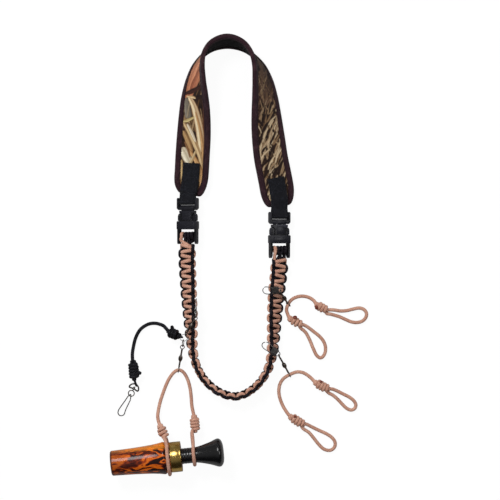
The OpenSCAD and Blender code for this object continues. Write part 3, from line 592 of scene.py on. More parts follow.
def rubber():
    m = Material("seal_rubber")
    n = m.grain(1500, detail=2.0)
    return m.surface(Base_Color=m.mix(n, (14, 14, 15), (34, 34, 36)), Roughness=0.6,
                     Normal=m.bump(n, mm=0.04, strength=0.5))


TAN = cord("tan_cord_sheath", (120, 79, 63), (188, 142, 122), (210, 170, 149), depth=0.66,
           sheen=0.05)
BLACK = cord("black_cord_sheath", (6, 5, 7), (22, 18, 24), (36, 31, 38), fleck=(48, 44, 52),
             sheen=0.05, specular=0.2)
TETHER = cord("tether_sheath", (5, 5, 7), (20, 20, 24), (38, 38, 45), fleck=(58, 60, 68),
              sheen=0.05)
BURNT, WEB, BINDING, LINING = burnt(), webbing(), binding(), lining()
FOAM, PLASTIC = foam(), plastic()
GUN = metal("blackened_wire", (146, 143, 142), (182, 180, 177), rough=0.28,
            worn=(205, 202, 198))
BRIGHT = metal("bright_wire", (158, 156, 155), (196, 194, 192), rough=0.22)
HOOK = metal("hook_wire_steel", (88, 86, 86), (136, 134, 132), rough=0.24)
SWIVEL = metal("blackened_swivel", (104, 97, 92), (142, 132, 124), rough=0.26,
               worn=(180, 164, 142))
BRASS, GLOSS, CORK, FILM, RUBBER = brass(), gloss_black(), cork(), reed_film(), rubber()
THREAD = cord("sewing_thread", (14, 8, 9), (36, 22, 24), (60, 40, 42), carriers=3, pick=0.5)
THREAD_BLACK = cord("black_thread", (8, 8, 10), (34, 35, 42), (56, 58, 68), carriers=3,
                    pick=0.5)

# ---------------------------------------------------------------- banked paths
def banked(tangent, bank, hand):
    """Across and outward directions of a strip tipped by the bank angle. hand is +1 when its
    across side lies to the right of travel, -1 to the left."""
    flat = unit(vec(tangent[0], tangent[1], 0))
    level = hand * vec(flat[1], -flat[0], 0)
    return cos(bank) * level + sin(bank) * UP, cos(bank) * UP - sin(bank) * level


class Course:
    """A banked path, addressed by s along it, u across it and h out of its face."""
    def __init__(self, way, steps, hand):
        """way: rows of x, y, z, bank in degrees."""
        table = np.array(smooth(way, steps))
        self.places, self.bank, self.hand = table[:, :3], table[:, 3], hand
        steps = np.linalg.norm(np.diff(self.places, axis=0), axis=1)
        self.stations = np.concatenate([[0], np.cumsum(steps)])
        self.length = float(self.stations[-1])
        tangents = np.gradient(self.places, self.stations, axis=0)
        self.tangents = tangents / np.linalg.norm(tangents, axis=1)[:, None]

    def rise(self, s, bank):
        return 0.0

    def clamp(self, s):
        return min(max(s, 0.0), self.length)

    def frame(self, s):
        """Middle, across, outward and along at s."""
        s = self.clamp(s)

        def sample(table):
            return np.array([np.interp(s, self.stations, column) for column in table.T])
        bank = radians(float(np.interp(s, self.stations, self.bank)))
        tangent = unit(sample(self.tangents))
        across, out = banked(tangent, bank, self.hand)
        return sample(self.places) + UP * self.rise(s, bank), across, out, tangent

    def point(self, s, u, h):
        """Beyond either end the path runs on straight."""
        middle, across, out, tangent = self.frame(s)
        return middle + u * across + h * out + (s - self.clamp(s)) * tangent


# ---------------------------------------------------------------- neck strap
PAD_HALF = 20.0                    # half width of the pad
END_HALF, END_RUN = 11, 22         # half width at the ends, length of the rounded corners
FOAM_T, SKIN_T, TAPE_T = 3.0, 0.5, 0.6
LAP = 7.0                          # how far the binding reaches in over the faces
INSET = 1.2                        # the faces stop this far inside the outline
FACE_HALF = PAD_HALF - INSET
STACK = FOAM_T / 2 + SKIN_T + 0.15  # middle of the foam to the outside of a face
BIND_OUT = STACK + TAPE_T
# x, y, bank in degrees, from the left end over the top to the right end
PAD_WAY = [
    (-58.65, 70.035, 11), (-56.81, 78.545, 10), (-55.2, 94.645, 9), (-54.28, 111.895, 8),
    (-53.13, 130.295, 10), (-52.21, 147.545, 18), (-51.635, 164.795, 28),
    (-51.29, 182.045, 41), (-50.255, 199.295, 56), (-47.15, 216.545, 72),
    (-40.595, 230.805, 88), (-29.67, 240.695, 99), (-13.8, 244.835, 104),
    (2.07, 240.695, 99), (13.8, 230.805, 88), (22.08, 216.545, 72), (26.68, 199.295, 57),
    (29.095, 182.045, 46), (30.475, 164.795, 36), (31.855, 147.545, 26),
    (33.695, 130.295, 18), (36.11, 111.895, 13), (39.56, 94.645, 11), (42.78, 77.395, 11),
    (45.31, 56.465, 12)]


def pad_half(from_end):
    """Half width of the pad at a distance from its nearer end."""
    if from_end >= END_RUN:
        return PAD_HALF
    short = (END_RUN - from_end) / END_RUN
    return END_HALF + (PAD_HALF - END_HALF) * math.sqrt(max(0.0, 1 - short ** 2))


def pad_rise(half, bank):
    """Height of the pad's middle when its lower edge rests on the table."""
    return half * sin(bank) + BIND_OUT * abs(cos(bank)) + 0.2


class Strap(Course):
    def half(self, s):
        return pad_half(min(s, self.length - s))

    def rise(self, s, bank):
        return pad_rise(self.half(s), bank)


strap = Strap([(x, y, 0.0, bank) for x, y, bank in PAD_WAY], 24, hand=1)


def pucker(s, k=1.0):
    return 0.16 * k * sin(s * 2 * pi / 6.3) + 0.12 * k * sin(s * 2 * pi / 3.9 + 1.3)


def face_height(s, u, half, side):
    """Height of a fabric face: crowned in the middle, pulled down where the binding is sewn."""
    inside = (half - LAP) - abs(u)
    z = FOAM_T / 2 + 0.36
    if inside > 0:
        z += 0.42 * min(1.0, inside / 7.0) ** 0.6
        z += 0.25 * mnoise.noise(Vector((s * 0.05, u * 0.07, side * 3.0)))
        z += pucker(s, math.exp(-inside / 2.2))
    return min(z, FOAM_T / 2 + 0.05 + SKIN_T) if inside <= 0.3 else z


def spread(half, columns):
    """Places across a width, from +half to -half."""
    return [half * (1 - 2 * k / columns) for k in range(columns + 1)]


def face_rows(rows):
    return INSET + (strap.length - 2 * INSET) * np.arange(rows + 1) / rows


def pad_face(name, side, rows, columns, back_columns, uv_half, material, slot, node):
    """One fabric face; side is +1 out of the pad's face and -1 for its back."""
    bag, rings, stations = Bag(), [], face_rows(rows)
    for s in stations:
        half = strap.half(s)
        middle, across, out, _ = strap.frame(s)
        rings.append(
            [middle + u * across + side * face_height(s, u, half, side) * out
             for u in spread(half - INSET, columns)]
            + [middle - u * across + side * (FOAM_T / 2 + 0.1) * out
               for u in spread(half - INSET, back_columns)])
    us = spread(uv_half, columns) + [-u for u in spread(uv_half, back_columns)] + [uv_half]
    bag.skin(rings, us=us, vs=[float(s) for s in stations])
    return bag.make(name, "neck_strap", material, slot, node)


class Drawing:
    """Paints reeds and grass on a grid over the face: rows along the strap, columns across
    it, in mm."""
    def __init__(self, rows, columns):
        self.s, self.u = face_rows(rows), np.array(spread(FACE_HALF, columns))
        self.rng = np.random.RandomState(11)
        mottle = self.cloud(9.0, 3.0) * 0.6 + self.cloud(2.5, 1.2) * 0.4
        dark, light = self.rgb((22, 14, 11)), self.rgb((74, 50, 34))
        self.color = dark + mottle[..., None] ** 2 * (light - dark)

    def rgb(self, color):
        return np.array(linear(color)[:3])

    def cloud(self, along, across):
        """Smooth random field with cells of the given size."""
        grid = self.rng.rand(int(strap.length / along) + 4, int(40 / across) + 4)
        x, y = self.s / along, (self.u + 20) / across
        i, j = x.astype(int), y.astype(int)
        fx, fy = (x - i)[:, None], (y - j)[None]
        fx, fy = fx * fx * (3 - 2 * fx), fy * fy * (3 - 2 * fy)

        def corner(p, q):
            return grid[np.ix_(i + p, j + q)]
        return ((corner(0, 0) * (1 - fx) + corner(1, 0) * fx) * (1 - fy)
                + (corner(0, 1) * (1 - fx) + corner(1, 1) * fx) * fy)

    def stroke(self, points, width, dark, light, taper=0.6, shade=0.45, outline=True):
        """One blade along (s, u) points, dark on its shaded side and light on its lit side.
        taper is the share of its length over which each end narrows."""
        path = np.array(smooth(points, 8))
        margin = width + 1
        first = np.searchsorted(self.s, path[:, 0].min() - margin)
        last = np.searchsorted(self.s, path[:, 0].max() + margin)
        if last - first < 2:
            return
        s, u = np.meshgrid(self.s[first:last], self.u, indexing="ij")
        near, side, along = np.full(s.shape, 1e9), np.zeros(s.shape), np.zeros(s.shape)
        pieces = len(path) - 1
        for i in range(pieces):
            step = path[i + 1] - path[i]
            ds, du = s - path[i, 0], u - path[i, 1]
            t = np.clip((ds * step[0] + du * step[1]) / (float(step @ step) + 1e-9), 0, 1)
            ds, du = ds - t * step[0], du - t * step[1]
            distance = np.hypot(ds, du)
            closer = distance < near
            near = np.where(closer, distance, near)
            side = np.where(closer, np.sign(step[0] * du - step[1] * ds), side)
            along = np.where(closer, (i + t) / pieces, along)
        end = np.minimum(along, 1 - along)
        half = width / 2 * np.minimum(
            1.0, end / taper * 0.5 + 0.5 * (end > 0) * np.sqrt(np.minimum(1, end / 0.12)))
        offset = near * side / np.maximum(half, 0.05)
        tone = (0.62 + 0.38 * np.clip(offset + 0.2, -1, 1) * (1 - shade)
                + 0.18 * np.sin(offset * 6.0 + self.rng.rand() * 6))
        tone = np.where(offset < 0, tone - shade * 0.55, tone)
        if outline:
            tone = tone * np.clip((1.02 - np.abs(offset)) / 0.28, 0.15, 1)
        tone = np.clip(tone, 0, 1)[..., None]
        paint = self.rgb(dark) + (self.rgb(light) - self.rgb(dark)) * tone
        alpha = np.clip((half - near) / 1.0 + 0.5, 0, 1)[..., None]
        self.color[first:last] = self.color[first:last] * (1 - alpha) + paint * alpha

    def under(self, x, y, left):
        """(s, u) of the place on the face's left or right leg that lies at x, y."""
        middle_row = len(strap.stations) // 2
        if left:
            s = np.interp(y, strap.places[:middle_row, 1], strap.stations[:middle_row])
        else:
            s = np.interp(y, strap.places[middle_row:, 1][::-1],
                          strap.stations[middle_row:][::-1])
        middle, across, out, _ = strap.frame(float(s))
        start = (middle + out * (FOAM_T / 2 + 0.7))[0]
        return float(s), float(np.clip((x - start) / across[0], -19, 19))

    def blade(self, points, *args, left=True, **options):
        self.stroke([self.under(x, y, left) for x, y in points], *args, **options)


# broad leaves and reeds of the left leg, in painting order:
# width, taper, outlined, dark colour, light colour, points (x, y)
REEDS = [
    (16, 0.3, False, (112, 62, 42), (196, 126, 90),
     [(-66.24, 178.595), (-54.74, 196.995), (-36.34, 217.695), (-29.44, 229.195)]),
    (14, 0.3, False, (112, 62, 42), (196, 126, 90),
     [(-59.34, 178.595), (-52.44, 196.995), (-38.64, 217.695), (-31.74, 229.195)]),
    (21, 0.5, False, (132, 76, 52), (212, 142, 104),
     [(-61.64, 183.195), (-57.615, 196.995), (-51.29, 213.095), (-44.39, 224.595)]),
    (8, 0.5, True, (112, 58, 38), (178, 108, 76),
     [(-57.04, 184.345), (-52.44, 196.995), (-46.69, 210.795)]),
    (6, 0.5, False, (36, 18, 14), (66, 34, 24),
     [(-63.94, 185.495), (-54.74, 187.795), (-42.09, 194.695)]),
    (7, 0.6, False, (26, 16, 13), (44, 28, 22), [(-67.39, 177.445), (-39.79, 182.045)]),
    (30, 0.2, False, (24, 15, 12), (50, 33, 24), [(-68.54, 132.595), (-39.79, 121.095)]),
    (9.5, 0.15, True, (72, 64, 56), (138, 130, 114),
     [(-61.18, 180.895), (-59.915, 169.395), (-58.19, 156.745)]),
    (3.0, 0.6, True, (96, 82, 66), (168, 152, 124),
     [(-55.315, 180.895), (-58.65, 167.095), (-60.03, 157.895)]),
    (4.5, 0.6, True, (52, 30, 20), (96, 58, 38),
     [(-42.09, 180.895), (-40.48, 157.895), (-41.4, 132.595)]),
    (9.0, 0.35, True, (150, 106, 66), (244, 226, 186),
     [(-58.65, 182.62), (-52.67, 171.695), (-47.15, 150.995), (-44.62, 130.295),
      (-44.85, 118.795)]),
    (3.6, 0.6, True, (150, 110, 70), (238, 214, 168),
     [(-61.065, 182.275), (-54.28, 181.355), (-50.14, 179.745)]),
    (4.2, 0.6, True, (120, 78, 44), (214, 170, 116),
     [(-50.83, 164.795), (-45.77, 146.395), (-42.55, 125.695), (-42.32, 109.595)]),
    (4.4, 0.6, True, (128, 104, 58), (220, 200, 142),
     [(-65.55, 153.755), (-60.49, 154.675), (-51.75, 158.815)]),
    (7.5, 0.6, True, (112, 78, 46), (196, 158, 108),
     [(-65.09, 142.945), (-59.34, 131.445), (-54.74, 117.645)]),
    (7.0, 0.6, True, (132, 96, 58), (228, 200, 152),
     [(-64.4, 152.145), (-58.19, 141.795), (-50.6, 126.845), (-45.08, 111.895),
      (-42.78, 95.795)]),
    (4.2, 0.6, True, (160, 136, 108), (240, 230, 204),
     [(-60.49, 150.995), (-55.2, 141.105), (-50.37, 130.295)]),
    (10.5, 0.3, True, (150, 132, 104), (238, 228, 202),
     [(-66.7, 123.395), (-62.1, 115.345), (-57.27, 104.995)]),
    (5.6, 0.4, True, (136, 92, 50), (226, 180, 124),
     [(-59.8, 122.82), (-51.52, 111.32), (-45.31, 98.095), (-43.7, 79.695),
      (-44.62, 65.895)]),
    (3.0, 0.6, True, (90, 60, 38), (150, 108, 70),
     [(-63.25, 130.295), (-59.11, 120.405), (-57.04, 111.895)]),
    (4.6, 0.6, True, (140, 104, 62), (226, 196, 140),
     [(-66.93, 109.595), (-66.01, 93.495), (-64.86, 72.795)]),
    (4.2, 0.6, True, (120, 90, 56), (220, 196, 150),
     [(-50.14, 121.095), (-54.74, 109.595), (-61.64, 95.795), (-65.09, 81.995)])]


def tinted(dark, span, t):
    """A whole-number colour, t of the span above dark."""
    return tuple(int(d + r * t) for d, r in zip(dark, span))


def scattered_reeds(drawing):
    """Reeds at random along the whole strap."""
    rnd = random.Random(5)
    for _ in range(150):
        s, u = rnd.uniform(0, strap.length), rnd.uniform(-17, 17)
        lean = radians(rnd.choice((rnd.uniform(-40, -8), rnd.uniform(8, 48))))
        length, t = rnd.uniform(18, 46), rnd.random()
        ds, du = length * cos(lean), length * sin(lean)
        points = [(s, u), (s + ds * 0.5, u + du * 0.5 + rnd.uniform(-2, 2)),
                  (s + ds, u + du)]
        drawing.stroke(points, rnd.uniform(2.0, 5.5), (48, 30, 18),
                       tinted((110, 78, 46), (100, 100, 90), t))


def grass_points(rnd, x, y, lean, length, middle, jitter, tip):
    """A stem in three points; middle and tip are its sideways reach at half and full height."""
    foot = y - length / 2
    return [(x, foot),
            (x + length * middle * cos(lean) + rnd.uniform(-jitter, jitter),
             foot + length * 0.5 * sin(lean)),
            (x + length * cos(lean) * tip, foot + length * sin(lean))]


def dry_grass(drawing):
    """Thin grass on the right leg: short and dim near the top, longer and paler below."""
    rnd = random.Random(9)
    top, low = 226.895, 157.895
    for _ in range(130):
        y = rnd.uniform(top, low)
        x = 14.26 + (230.345 - y) * 0.18 + rnd.uniform(-4.6, 16.1)
        lean = radians(rnd.gauss(62, 24) if rnd.random() < 0.75 else rnd.gauss(120, 16))
        length = rnd.uniform(6.9, 18.4)
        t = rnd.random() * (0.2 + 0.5 * (top - y) / (top - low))
        points = grass_points(rnd, x, y, lean, length, middle=0.25, jitter=0.69, tip=0.6)
        drawing.blade(points, rnd.uniform(1.2, 1.9), (50, 32, 24),
                      tinted((84, 58, 44), (110, 100, 78), t), left=False, shade=0.2,
                      outline=False)
    top, low = 173.995, 49.795
    for _ in range(270):
        y = rnd.uniform(top, low)
        x = 24.61 + (top - y) * 0.105 + rnd.uniform(-8.05, 17.25)
        lean = radians(rnd.gauss(58, 13) if rnd.random() < 0.86 else rnd.gauss(118, 14))
        length = rnd.uniform(8.05, 21.85)
        t = min(1.0, 0.25 + 0.85 * rnd.random())
        if rnd.random() < 0.36:
            widen, dark, light = 1.6, (24, 16, 12), (38, 24, 18)
        else:
            widen, dark = 1, (84, 56, 34)
            light = tinted((104, 72, 44), (145, 152, 140), t)
        points = grass_points(rnd, x, y, lean, length, middle=0.3, jitter=0.92, tip=0.75)
        drawing.blade(points, rnd.uniform(1.3, 2.7) * widen, dark, light, left=False,
                      shade=0.25, outline=False)


def printed_face():
    rows, columns, back_columns = 1480, 72, 4
    drawing = Drawing(rows, columns)
    scattered_reeds(drawing)
    for width, taper, outline, dark, light, points in REEDS:
        drawing.blade(points, width, dark, light, taper=taper, outline=outline)
    dry_grass(drawing)
    ob = pad_face("pad_face", 1, rows, columns, back_columns, FACE_HALF, printed(),
                  "printed_face", "neck_pad_face")
    colors = []
    for i, s in enumerate(drawing.s):
        # the drawing is set out for the full width and cut narrower towards the ends
        for u in spread(strap.half(s) - INSET, columns):
            j = int(round((1 - u / FACE_HALF) * columns / 2))
            colors.append(drawing.color[i, min(columns, max(0, j))])
        colors += [drawing.color[i, columns // 2]] * (back_columns + 1)
    colors = np.clip(np.array(colors), 0, 1)
    rgba = np.concatenate([colors, np.ones((len(colors), 1))], axis=1)
    layer = ob.data.color_attributes.new(name="print", type="FLOAT_COLOR", domain="POINT")
    layer.data.foreach_set("color", rgba.ravel().astype(np.float32))


printed_face()
pad_face("pad_lining", -1, 260, 20, 20, PAD_HALF, LINING, "lining", "neck_pad_lining")


def strip_section(half, edge, shoulder, shoulder_z, top):
    """14 points round a flat strip with eased edges, as (across, out)."""
    first = [(half, -edge), (half, edge), (half - shoulder, shoulder_z), (half * 0.5, top),
             (0, top), (-half * 0.5, top), (-half + shoulder, shoulder_z)]
    return first + [(-a, -b) for a, b in first]


def pad_core():
    bag, rings = Bag(), []
    for s in face_rows(140):
        section = strip_section(strap.half(s) - 1.3, 1.0, 0.7, 1.5, 1.55)
        rings.append([strap.point(s, u, z) for u, z in section])
    bag.skin(rings)
    bag.make("pad_core", "neck_strap", FOAM, "pad_foam", "neck_pad_foam")


pad_core()


def pad_outline():
    """Once round the pad, as (s, u): half of it, then the same turned about its middle."""
    side_steps, arc_steps, end_steps = 300, 12, 8
    length = strap.length
    arc = []
    for i in range(arc_steps + 1):
        a = pi / 2 * i / arc_steps
        arc.append((END_RUN * (1 - cos(a)), END_HALF + (PAD_HALF - END_HALF) * sin(a)))
    half = arc + [(END_RUN + (length - 2 * END_RUN) * i / side_steps, PAD_HALF)
                  for i in range(1, side_steps)]
    half += [(length - s, u) for s, u in arc[::-1]]
    half += [(length, END_HALF - 2 * END_HALF * i / end_steps) for i in range(1, end_steps)]
    return half + [(length - s, -u) for s, u in half]


outline = pad_outline()


def edge_point(i, back, h):
    """Point h out of the face, set back into the pad from outline point i."""
    a, c = outline[i - 1], outline[(i + 1) % len(outline)]
    d = unit(vec(c[0] - a[0], c[1] - a[1]))
    s, u = outline[i]
    return strap.point(s + d[1] * back, u - d[0] * back, h)


edge_lengths = lengths([edge_point(i, 0, 0) for i in range(len(outline))], closed=True)


def edge_at(distance, back, h):
    distance = distance % edge_lengths[-1]
    i = int(np.searchsorted(edge_lengths, distance)) - 1
    i = max(0, min(i, len(outline) - 1))
    start, end = edge_lengths[i], edge_lengths[i + 1]
    f = (distance - start) / max(1e-6, end - start)
    return (edge_point(i, back, h) * (1 - f)
            + edge_point((i + 1) % len(outline), back, h) * f)


def pad_binding():
    """Tape folded over the pad's edge."""
    bag, rings, out = Bag(), [], BIND_OUT
    for i in range(len(outline)):
        k = pucker(edge_lengths[i], 0.5) * 0.4
        # (set back, out): the outside from the upper hem to the edge, then the inside
        outer = [(LAP, out - 0.32), (LAP - 0.25, out - 0.12 + k), (LAP - 1.2, out - 0.26 + k),
                 (LAP - 2.6, out + 0.04), (3.0, out + 0.06), (1.5, out - 0.12),
                 (0.6, out - 0.75), (0.12, 1.1)]
        inner = [(LAP - 0.2, -STACK), (3.2, -STACK), (1.1, -STACK + 0.3), (0.75, -0.8)]
        section = outer + [(0.0, 0.0)] + flip(outer) + inner + flip(inner)
        rings.append([edge_point(i, back, h) for back, h in section])
    bag.skin(rings, closed=True, us=lengths(section, closed=True), vs=edge_lengths)
    bag.make("pad_binding", "neck_strap", BINDING, "binding", "neck_pad_binding")


def binding_stitches():
    """A row of stitches near the hem on both faces."""
    pitch, length, back = 3.1, 2.5, LAP - 1.25
    bag, d = Bag(), 0.0
    while d < edge_lengths[-1] - length:
        for side in (1, -1):
            h = side * (BIND_OUT - 0.1)
            path = [edge_at(d + along, back, h + side * dip) for along, dip in
                    ((0, -0.25), (0.5, 0), (1.3, 0.06), (2.1, 0), (length, -0.25))]
            bag.tube(path, 0.2, n=6, side=path[2] - edge_at(d + 1.3, 0, h),
                     round_ends=False)
        d += pitch
    bag.make("pad_binding_stitches", "neck_strap", THREAD, "binding")


pad_binding()
binding_stitches()

# ---------------------------------------------------------------- buckles
# Each buckle's frame has X across the strap, +Y towards the pad and Z out of its face.
LEFT_BUCKLE = pose_rolled(vec(-59.455, 50.945, 10.8), -24.0)
RIGHT_BUCKLE = pose_rolled(vec(45.655, 34.845, 10.8), 22.0)


def moulded(node, body, width):
    """A copy of a CAD solid with rounded edges."""
    nodes = cad.get("nodes")
    if isinstance(nodes, dict) and isinstance(nodes.get(node), bpy.types.Object):
        source = nodes[node]
    else:
        source = bpy.data.objects[node]
    mesh = source.data.copy()
    mesh.materials.clear()
    mesh.materials.append(PLASTIC)
    bm = bmesh.new()
    bm.from_mesh(mesh)
    bmesh.ops.remove_doubles(bm, verts=bm.verts, dist=2e-6)
    bmesh.ops.dissolve_limit(bm, angle_limit=radians(1.5), verts=bm.verts, edges=bm.edges)
    bmesh.ops.recalc_face_normals(bm, faces=bm.faces)
    bm.to_mesh(mesh)
    bm.free()
    ob = bpy.data.objects.new(node + "_moulded", mesh)
    bpy.context.scene.collection.objects.link(ob)
    bevel = ob.modifiers.new("round", "BEVEL")
    bevel.width = width * MM
    bevel.segments = 3
    bevel.limit_method = "ANGLE"
    bevel.angle_limit = radians(32)
    bevel.use_clamp_overlap = True
    evaluated = ob.evaluated_get(bpy.context.evaluated_depsgraph_get())
    mesh = bpy.data.meshes.new_from_object(evaluated)
    ob.modifiers.clear()
    ob.data = mesh
    mesh.polygons.foreach_set("use_smooth", [True] * len(mesh.polygons))
    mesh.set_sharp_from_angle(angle=radians(38))
    mesh.update()
    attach(ob, body)
    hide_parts(node)


def chip(bag, M, xs, ys, zs, r):
    """Small block with rounded corners in a buckle's frame; the first z is its buried side."""
    cx, cy = (xs[0] + xs[1]) / 2, (ys[0] + ys[1]) / 2
    hx, hy = (xs[1] - xs[0]) / 2, (ys[1] - ys[0]) / 2

    def loop(inset, z):
        ring = []
        for qx, qy, start in ((1, 1, 0), (-1, 1, 90), (-1, -1, 180), (1, -1, 270)):
            for a in (0, 30, 60, 90):
                g = radians(start + a)
                ring.append(place(M, (cx + qx * (hx - r) + (r - inset) * cos(g),
                                      cy + qy * (hy - r) + (r - inset) * sin(g), z)))
        return ring
    z0, z1 = zs
    sign = 1 if z1 > z0 else -1
    e = min(0.3, abs(z1 - z0) * 0.5)
    bag.skin([loop(0, z0), loop(0, z1 - sign * e), loop(e * 0.35, z1 - sign * e * 0.3),
              loop(e, z1)])


def buckle(side, M, hand):
    moulded(f"{side}_buckle_male", "neck_strap", 0.7)
    moulded(f"{side}_buckle_female", "braid", 0.7)
    for latch, sign in (("outer", -hand), ("inner", hand)):
        body = f"{side}_{latch}_latch"
        moulded(f"{side}_latch_{latch}", body, 0.5)
        bag = Bag()
        for j in range(4):
            y = -10.2 + j * 1.55
            for z in (1, -1):
                chip(bag, M, sorted((sign * 9.2, sign * 11.4)), (y, y + 0.75),
                     (z * 1.9, z * 2.35), 0.3)
        bag.make(f"{side}_latch_{latch}_grip", body, PLASTIC, "buckle_black")
    bag = Bag()
    for z in (1, -1):
        # raised panel on the box, then a rib on the centre plate
        chip(bag, M, (-9.6, 9.6), (-19.6, -13.4), (z * 3.8, z * 4.28), 1.6)
        chip(bag, M, (-5.2, 5.2), (-10.6, -1.4), (z * 3.6, z * 4.05), 1.2)
    bag.make(f"{side}_female_panels", "braid", PLASTIC, "buckle_black")
    bag = Bag()
    for z in (1, -1):
        chip(bag, M, (-8.6, 8.6), (1.9, 4.3), (z * 3.5, z * 3.95), 0.9)    # rib on the base
        for x in (-11.45, 11.45):
            chip(bag, M, (x - 0.55, x + 0.55), (6, 12.4), (z * 3.5, z * 3.9), 0.4)
    chip(bag, M, (-9.9, 9.9), (3.6, 6.7), (-1.5, 1.5), 0.5)                # lip by the bar
    bag.make(f"{side}_male_ribs", "neck_strap", PLASTIC, "buckle_black")


buckle("left", LEFT_BUCKLE, 1)
buckle("right", RIGHT_BUCKLE, -1)

# ---------------------------------------------------------------- webbing tabs
WEB_W, WEB_T = 19.6, 1.2
BAR_R, BAR_GAP = 1.7, 0.25


def tab_frames(M, stations, hand):
    """Folded strip as rows of (centre, across, out): over the pad, round the buckle's bar and
    back under the pad. Also its upper part alone, from the pad's end inwards."""
    way = smooth(PAD_WAY, 3)
    places = [vec(q[0], q[1], 0) for q in way]
    upper, lower = [], []
    for k, i in enumerate(stations):
        tangent = unit(places[i + 1] - places[i - 1])
        bank = radians(way[i][2])
        across, out = banked(tangent, bank, 1)
        from_end = min(np.linalg.norm(places[i] - places[j]) for j in (0, -1))
        middle = places[i] + UP * pad_rise(pad_half(from_end), bank)
        lift = (1.2, 0.5)[k] if k < 2 else 0.15
        upper.append((middle + out * (BIND_OUT + 1.5 * WEB_T + 0.65 + lift), across, out))
        lower.append((middle + out * (BIND_OUT + WEB_T / 2 + 0.35 + lift), across, -out))
    bar, across, out = place(M, (0, 10, 0)), hand * turn(M, (1, 0, 0)), turn(M, UP)
    y = vec(0, 1, 0)
    wrap = []
    for a in np.arange(90, -91, -22.5):
        radial = -y * cos(radians(a)) + out * sin(radians(a))
        wrap.append((bar + radial * (BAR_R + BAR_GAP + WEB_T / 2), across, radial))
    over = [(bar + y * 10.5 + out * 0.95, across, out), (bar + y * 7 + out * 1.3, across, out)]
    under = [(bar + y * 7 - out * 1.35, across, -out),
             (bar + y * 10.5 - out * 0.95, across, -out)]
    return upper[::-1] + over + wrap + under + lower, upper


def web_tab(side, frames):
    bag, rings, thick = Bag(), [], WEB_T / 2
    section = strip_section(WEB_W / 2, thick * 0.45, 0.5, thick * 0.95, thick)
    for row in smooth([np.concatenate(f) for f in frames], 4):
        across, out = unit(row[3:6]), unit(row[6:])
        rings.append([row[:3] + across * a + out * b for a, b in section])
    bag.skin(rings, us=lengths(section, closed=True))
    bag.make(f"{side}_tab", "neck_strap", WEB, "webbing", f"{side}_web_tab")


def tab_stitches(side, upper):
    """Sewn box with a cross, on the part of the tab over the pad."""
    stations = lengths([f[0] for f in upper])
    table = np.array([np.concatenate(f) for f in upper])

    def tab_point(d, u, h):
        row = np.array([np.interp(d, stations, column) for column in table.T])
        return row[:3] + unit(row[3:6]) * u + unit(row[6:]) * (WEB_T / 2 + h)
    bag, half = Bag(), 7.8
    end = stations[-1] - 1.6
    start = max(4.0, end - 15.0)
    a, b, c, d = (start, -half), (end, -half), (end, half), (start, half)
    for p, q in ((a, b), (b, c), (c, d), (d, a), (a, c), (d, b)):
        count = max(1, int(math.dist(p, q) / 2.3))
        for j in range(count):
            path = []
            for part, h in zip((0, 0.25, 0.5, 0.75, 1), (-0.2, 0.04, 0.08, 0.04, -0.2)):
                f = (j + 0.82 * part) / count
                path.append(tab_point(p[0] + (q[0] - p[0]) * f, p[1] + (q[1] - p[1]) * f, h))
            bag.tube(path, 0.18, n=6, side=upper[2][2], round_ends=False)
    bag.make(f"{side}_tab_stitches", "neck_strap", THREAD_BLACK, "webbing")


for side, M, stations, hand in (("left", LEFT_BUCKLE, range(1, 9), 1),
                                ("right", RIGHT_BUCKLE, range(71, 66, -1), -1)):
    frames, upper = tab_frames(M, stations, hand)
    web_tab(side, frames)
    tab_stitches(side, upper)

# ---------------------------------------------------------------- woven braid
# x, y, z, bank in degrees, from the left buckle round the bottom to the right buckle
BRAID_WAY = [
    (-59.685, 14.72, 10.4, 24), (-60.26, 3.795, 9.8, 26), (-60.03, -12.305, 8.9, 31),
    (-59.11, -28.405, 8.7, 35), (-58.305, -44.505, 8.7, 41), (-57.155, -60.605, 8.9, 47),
    (-56.12, -76.705, 9.3, 55), (-55.2, -95.105, 9.8, 66), (-53.36, -112.355, 10.2, 76),
    (-48.99, -127.88, 10.4, 83), (-41.17, -141.68, 10.5, 88), (-29.9, -152.835, 10.6, 90),
    (-16.79, -159.965, 10.6, 90), (-3.68, -162.035, 10.6, 90), (9.2, -157.665, 10.6, 88),
    (22.31, -147.085, 10.5, 85), (32.43, -131.33, 10.4, 80), (37.145, -113.505, 10.1, 72),
    (38.87, -95.105, 9.7, 62), (39.79, -76.705, 9.2, 52), (41.055, -58.305, 8.8, 42),
    (42.665, -39.905, 8.7, 35), (44.85, -21.505, 8.9, 29), (45.655, -11.155, 9.7, 25),
    (45.77, -1.955, 10.2, 22)]
braid = Course(BRAID_WAY, 16, hand=-1)
KNOTS = 33
PASS = (braid.length - 3.0) / (2 * KNOTS)      # length of one crossing
SLANT = 0.95
BAR_Y = -27.4                                  # the bar the cords go round
BAR_TURN = [(-26.1, -2.5), (-25.6, 0), (-26.1, 2.5), (BAR_Y, 3.6)]     # y, z
weave_random = random.Random(7)


def working_cord(hand):
    """Rows of along, across, height, how far pressed flat. The +1 cord crosses the outer
    face, the -1 cord the back."""
    points = []
    for k in range(2 * KNOTS):
        s = 1.5 + (k + 0.5) * PASS
        side = (1 if k % 2 else -1) * hand
        j = weave_random.uniform(-0.15, 0.15)
        points += [(s + SLANT + 0.35, -side * 6.8, hand * 1.1, 0.4),
                   (s + SLANT * 0.8, -side * 4.2, hand * (2.85 + j), 0.9),
                   (s + j, 0.0, hand * 3.2, 1.0),
                   (s - SLANT * 0.8, side * 4.2, hand * (2.85 - j), 0.9),
                   (s - SLANT - 0.35, side * 6.8, hand * 1.1, 0.4)]
        if k < 2 * KNOTS - 1:
            after = s + PASS
            points += [(s + 0.2, side * 8.0, -hand * 1.6, 0.2),
                       ((s + after) / 2, side * 8.2 + j, -hand * 2.3, 0.1),
                       (after - 0.2, side * 8.0, -hand * 1.6, 0.2)]
    return points


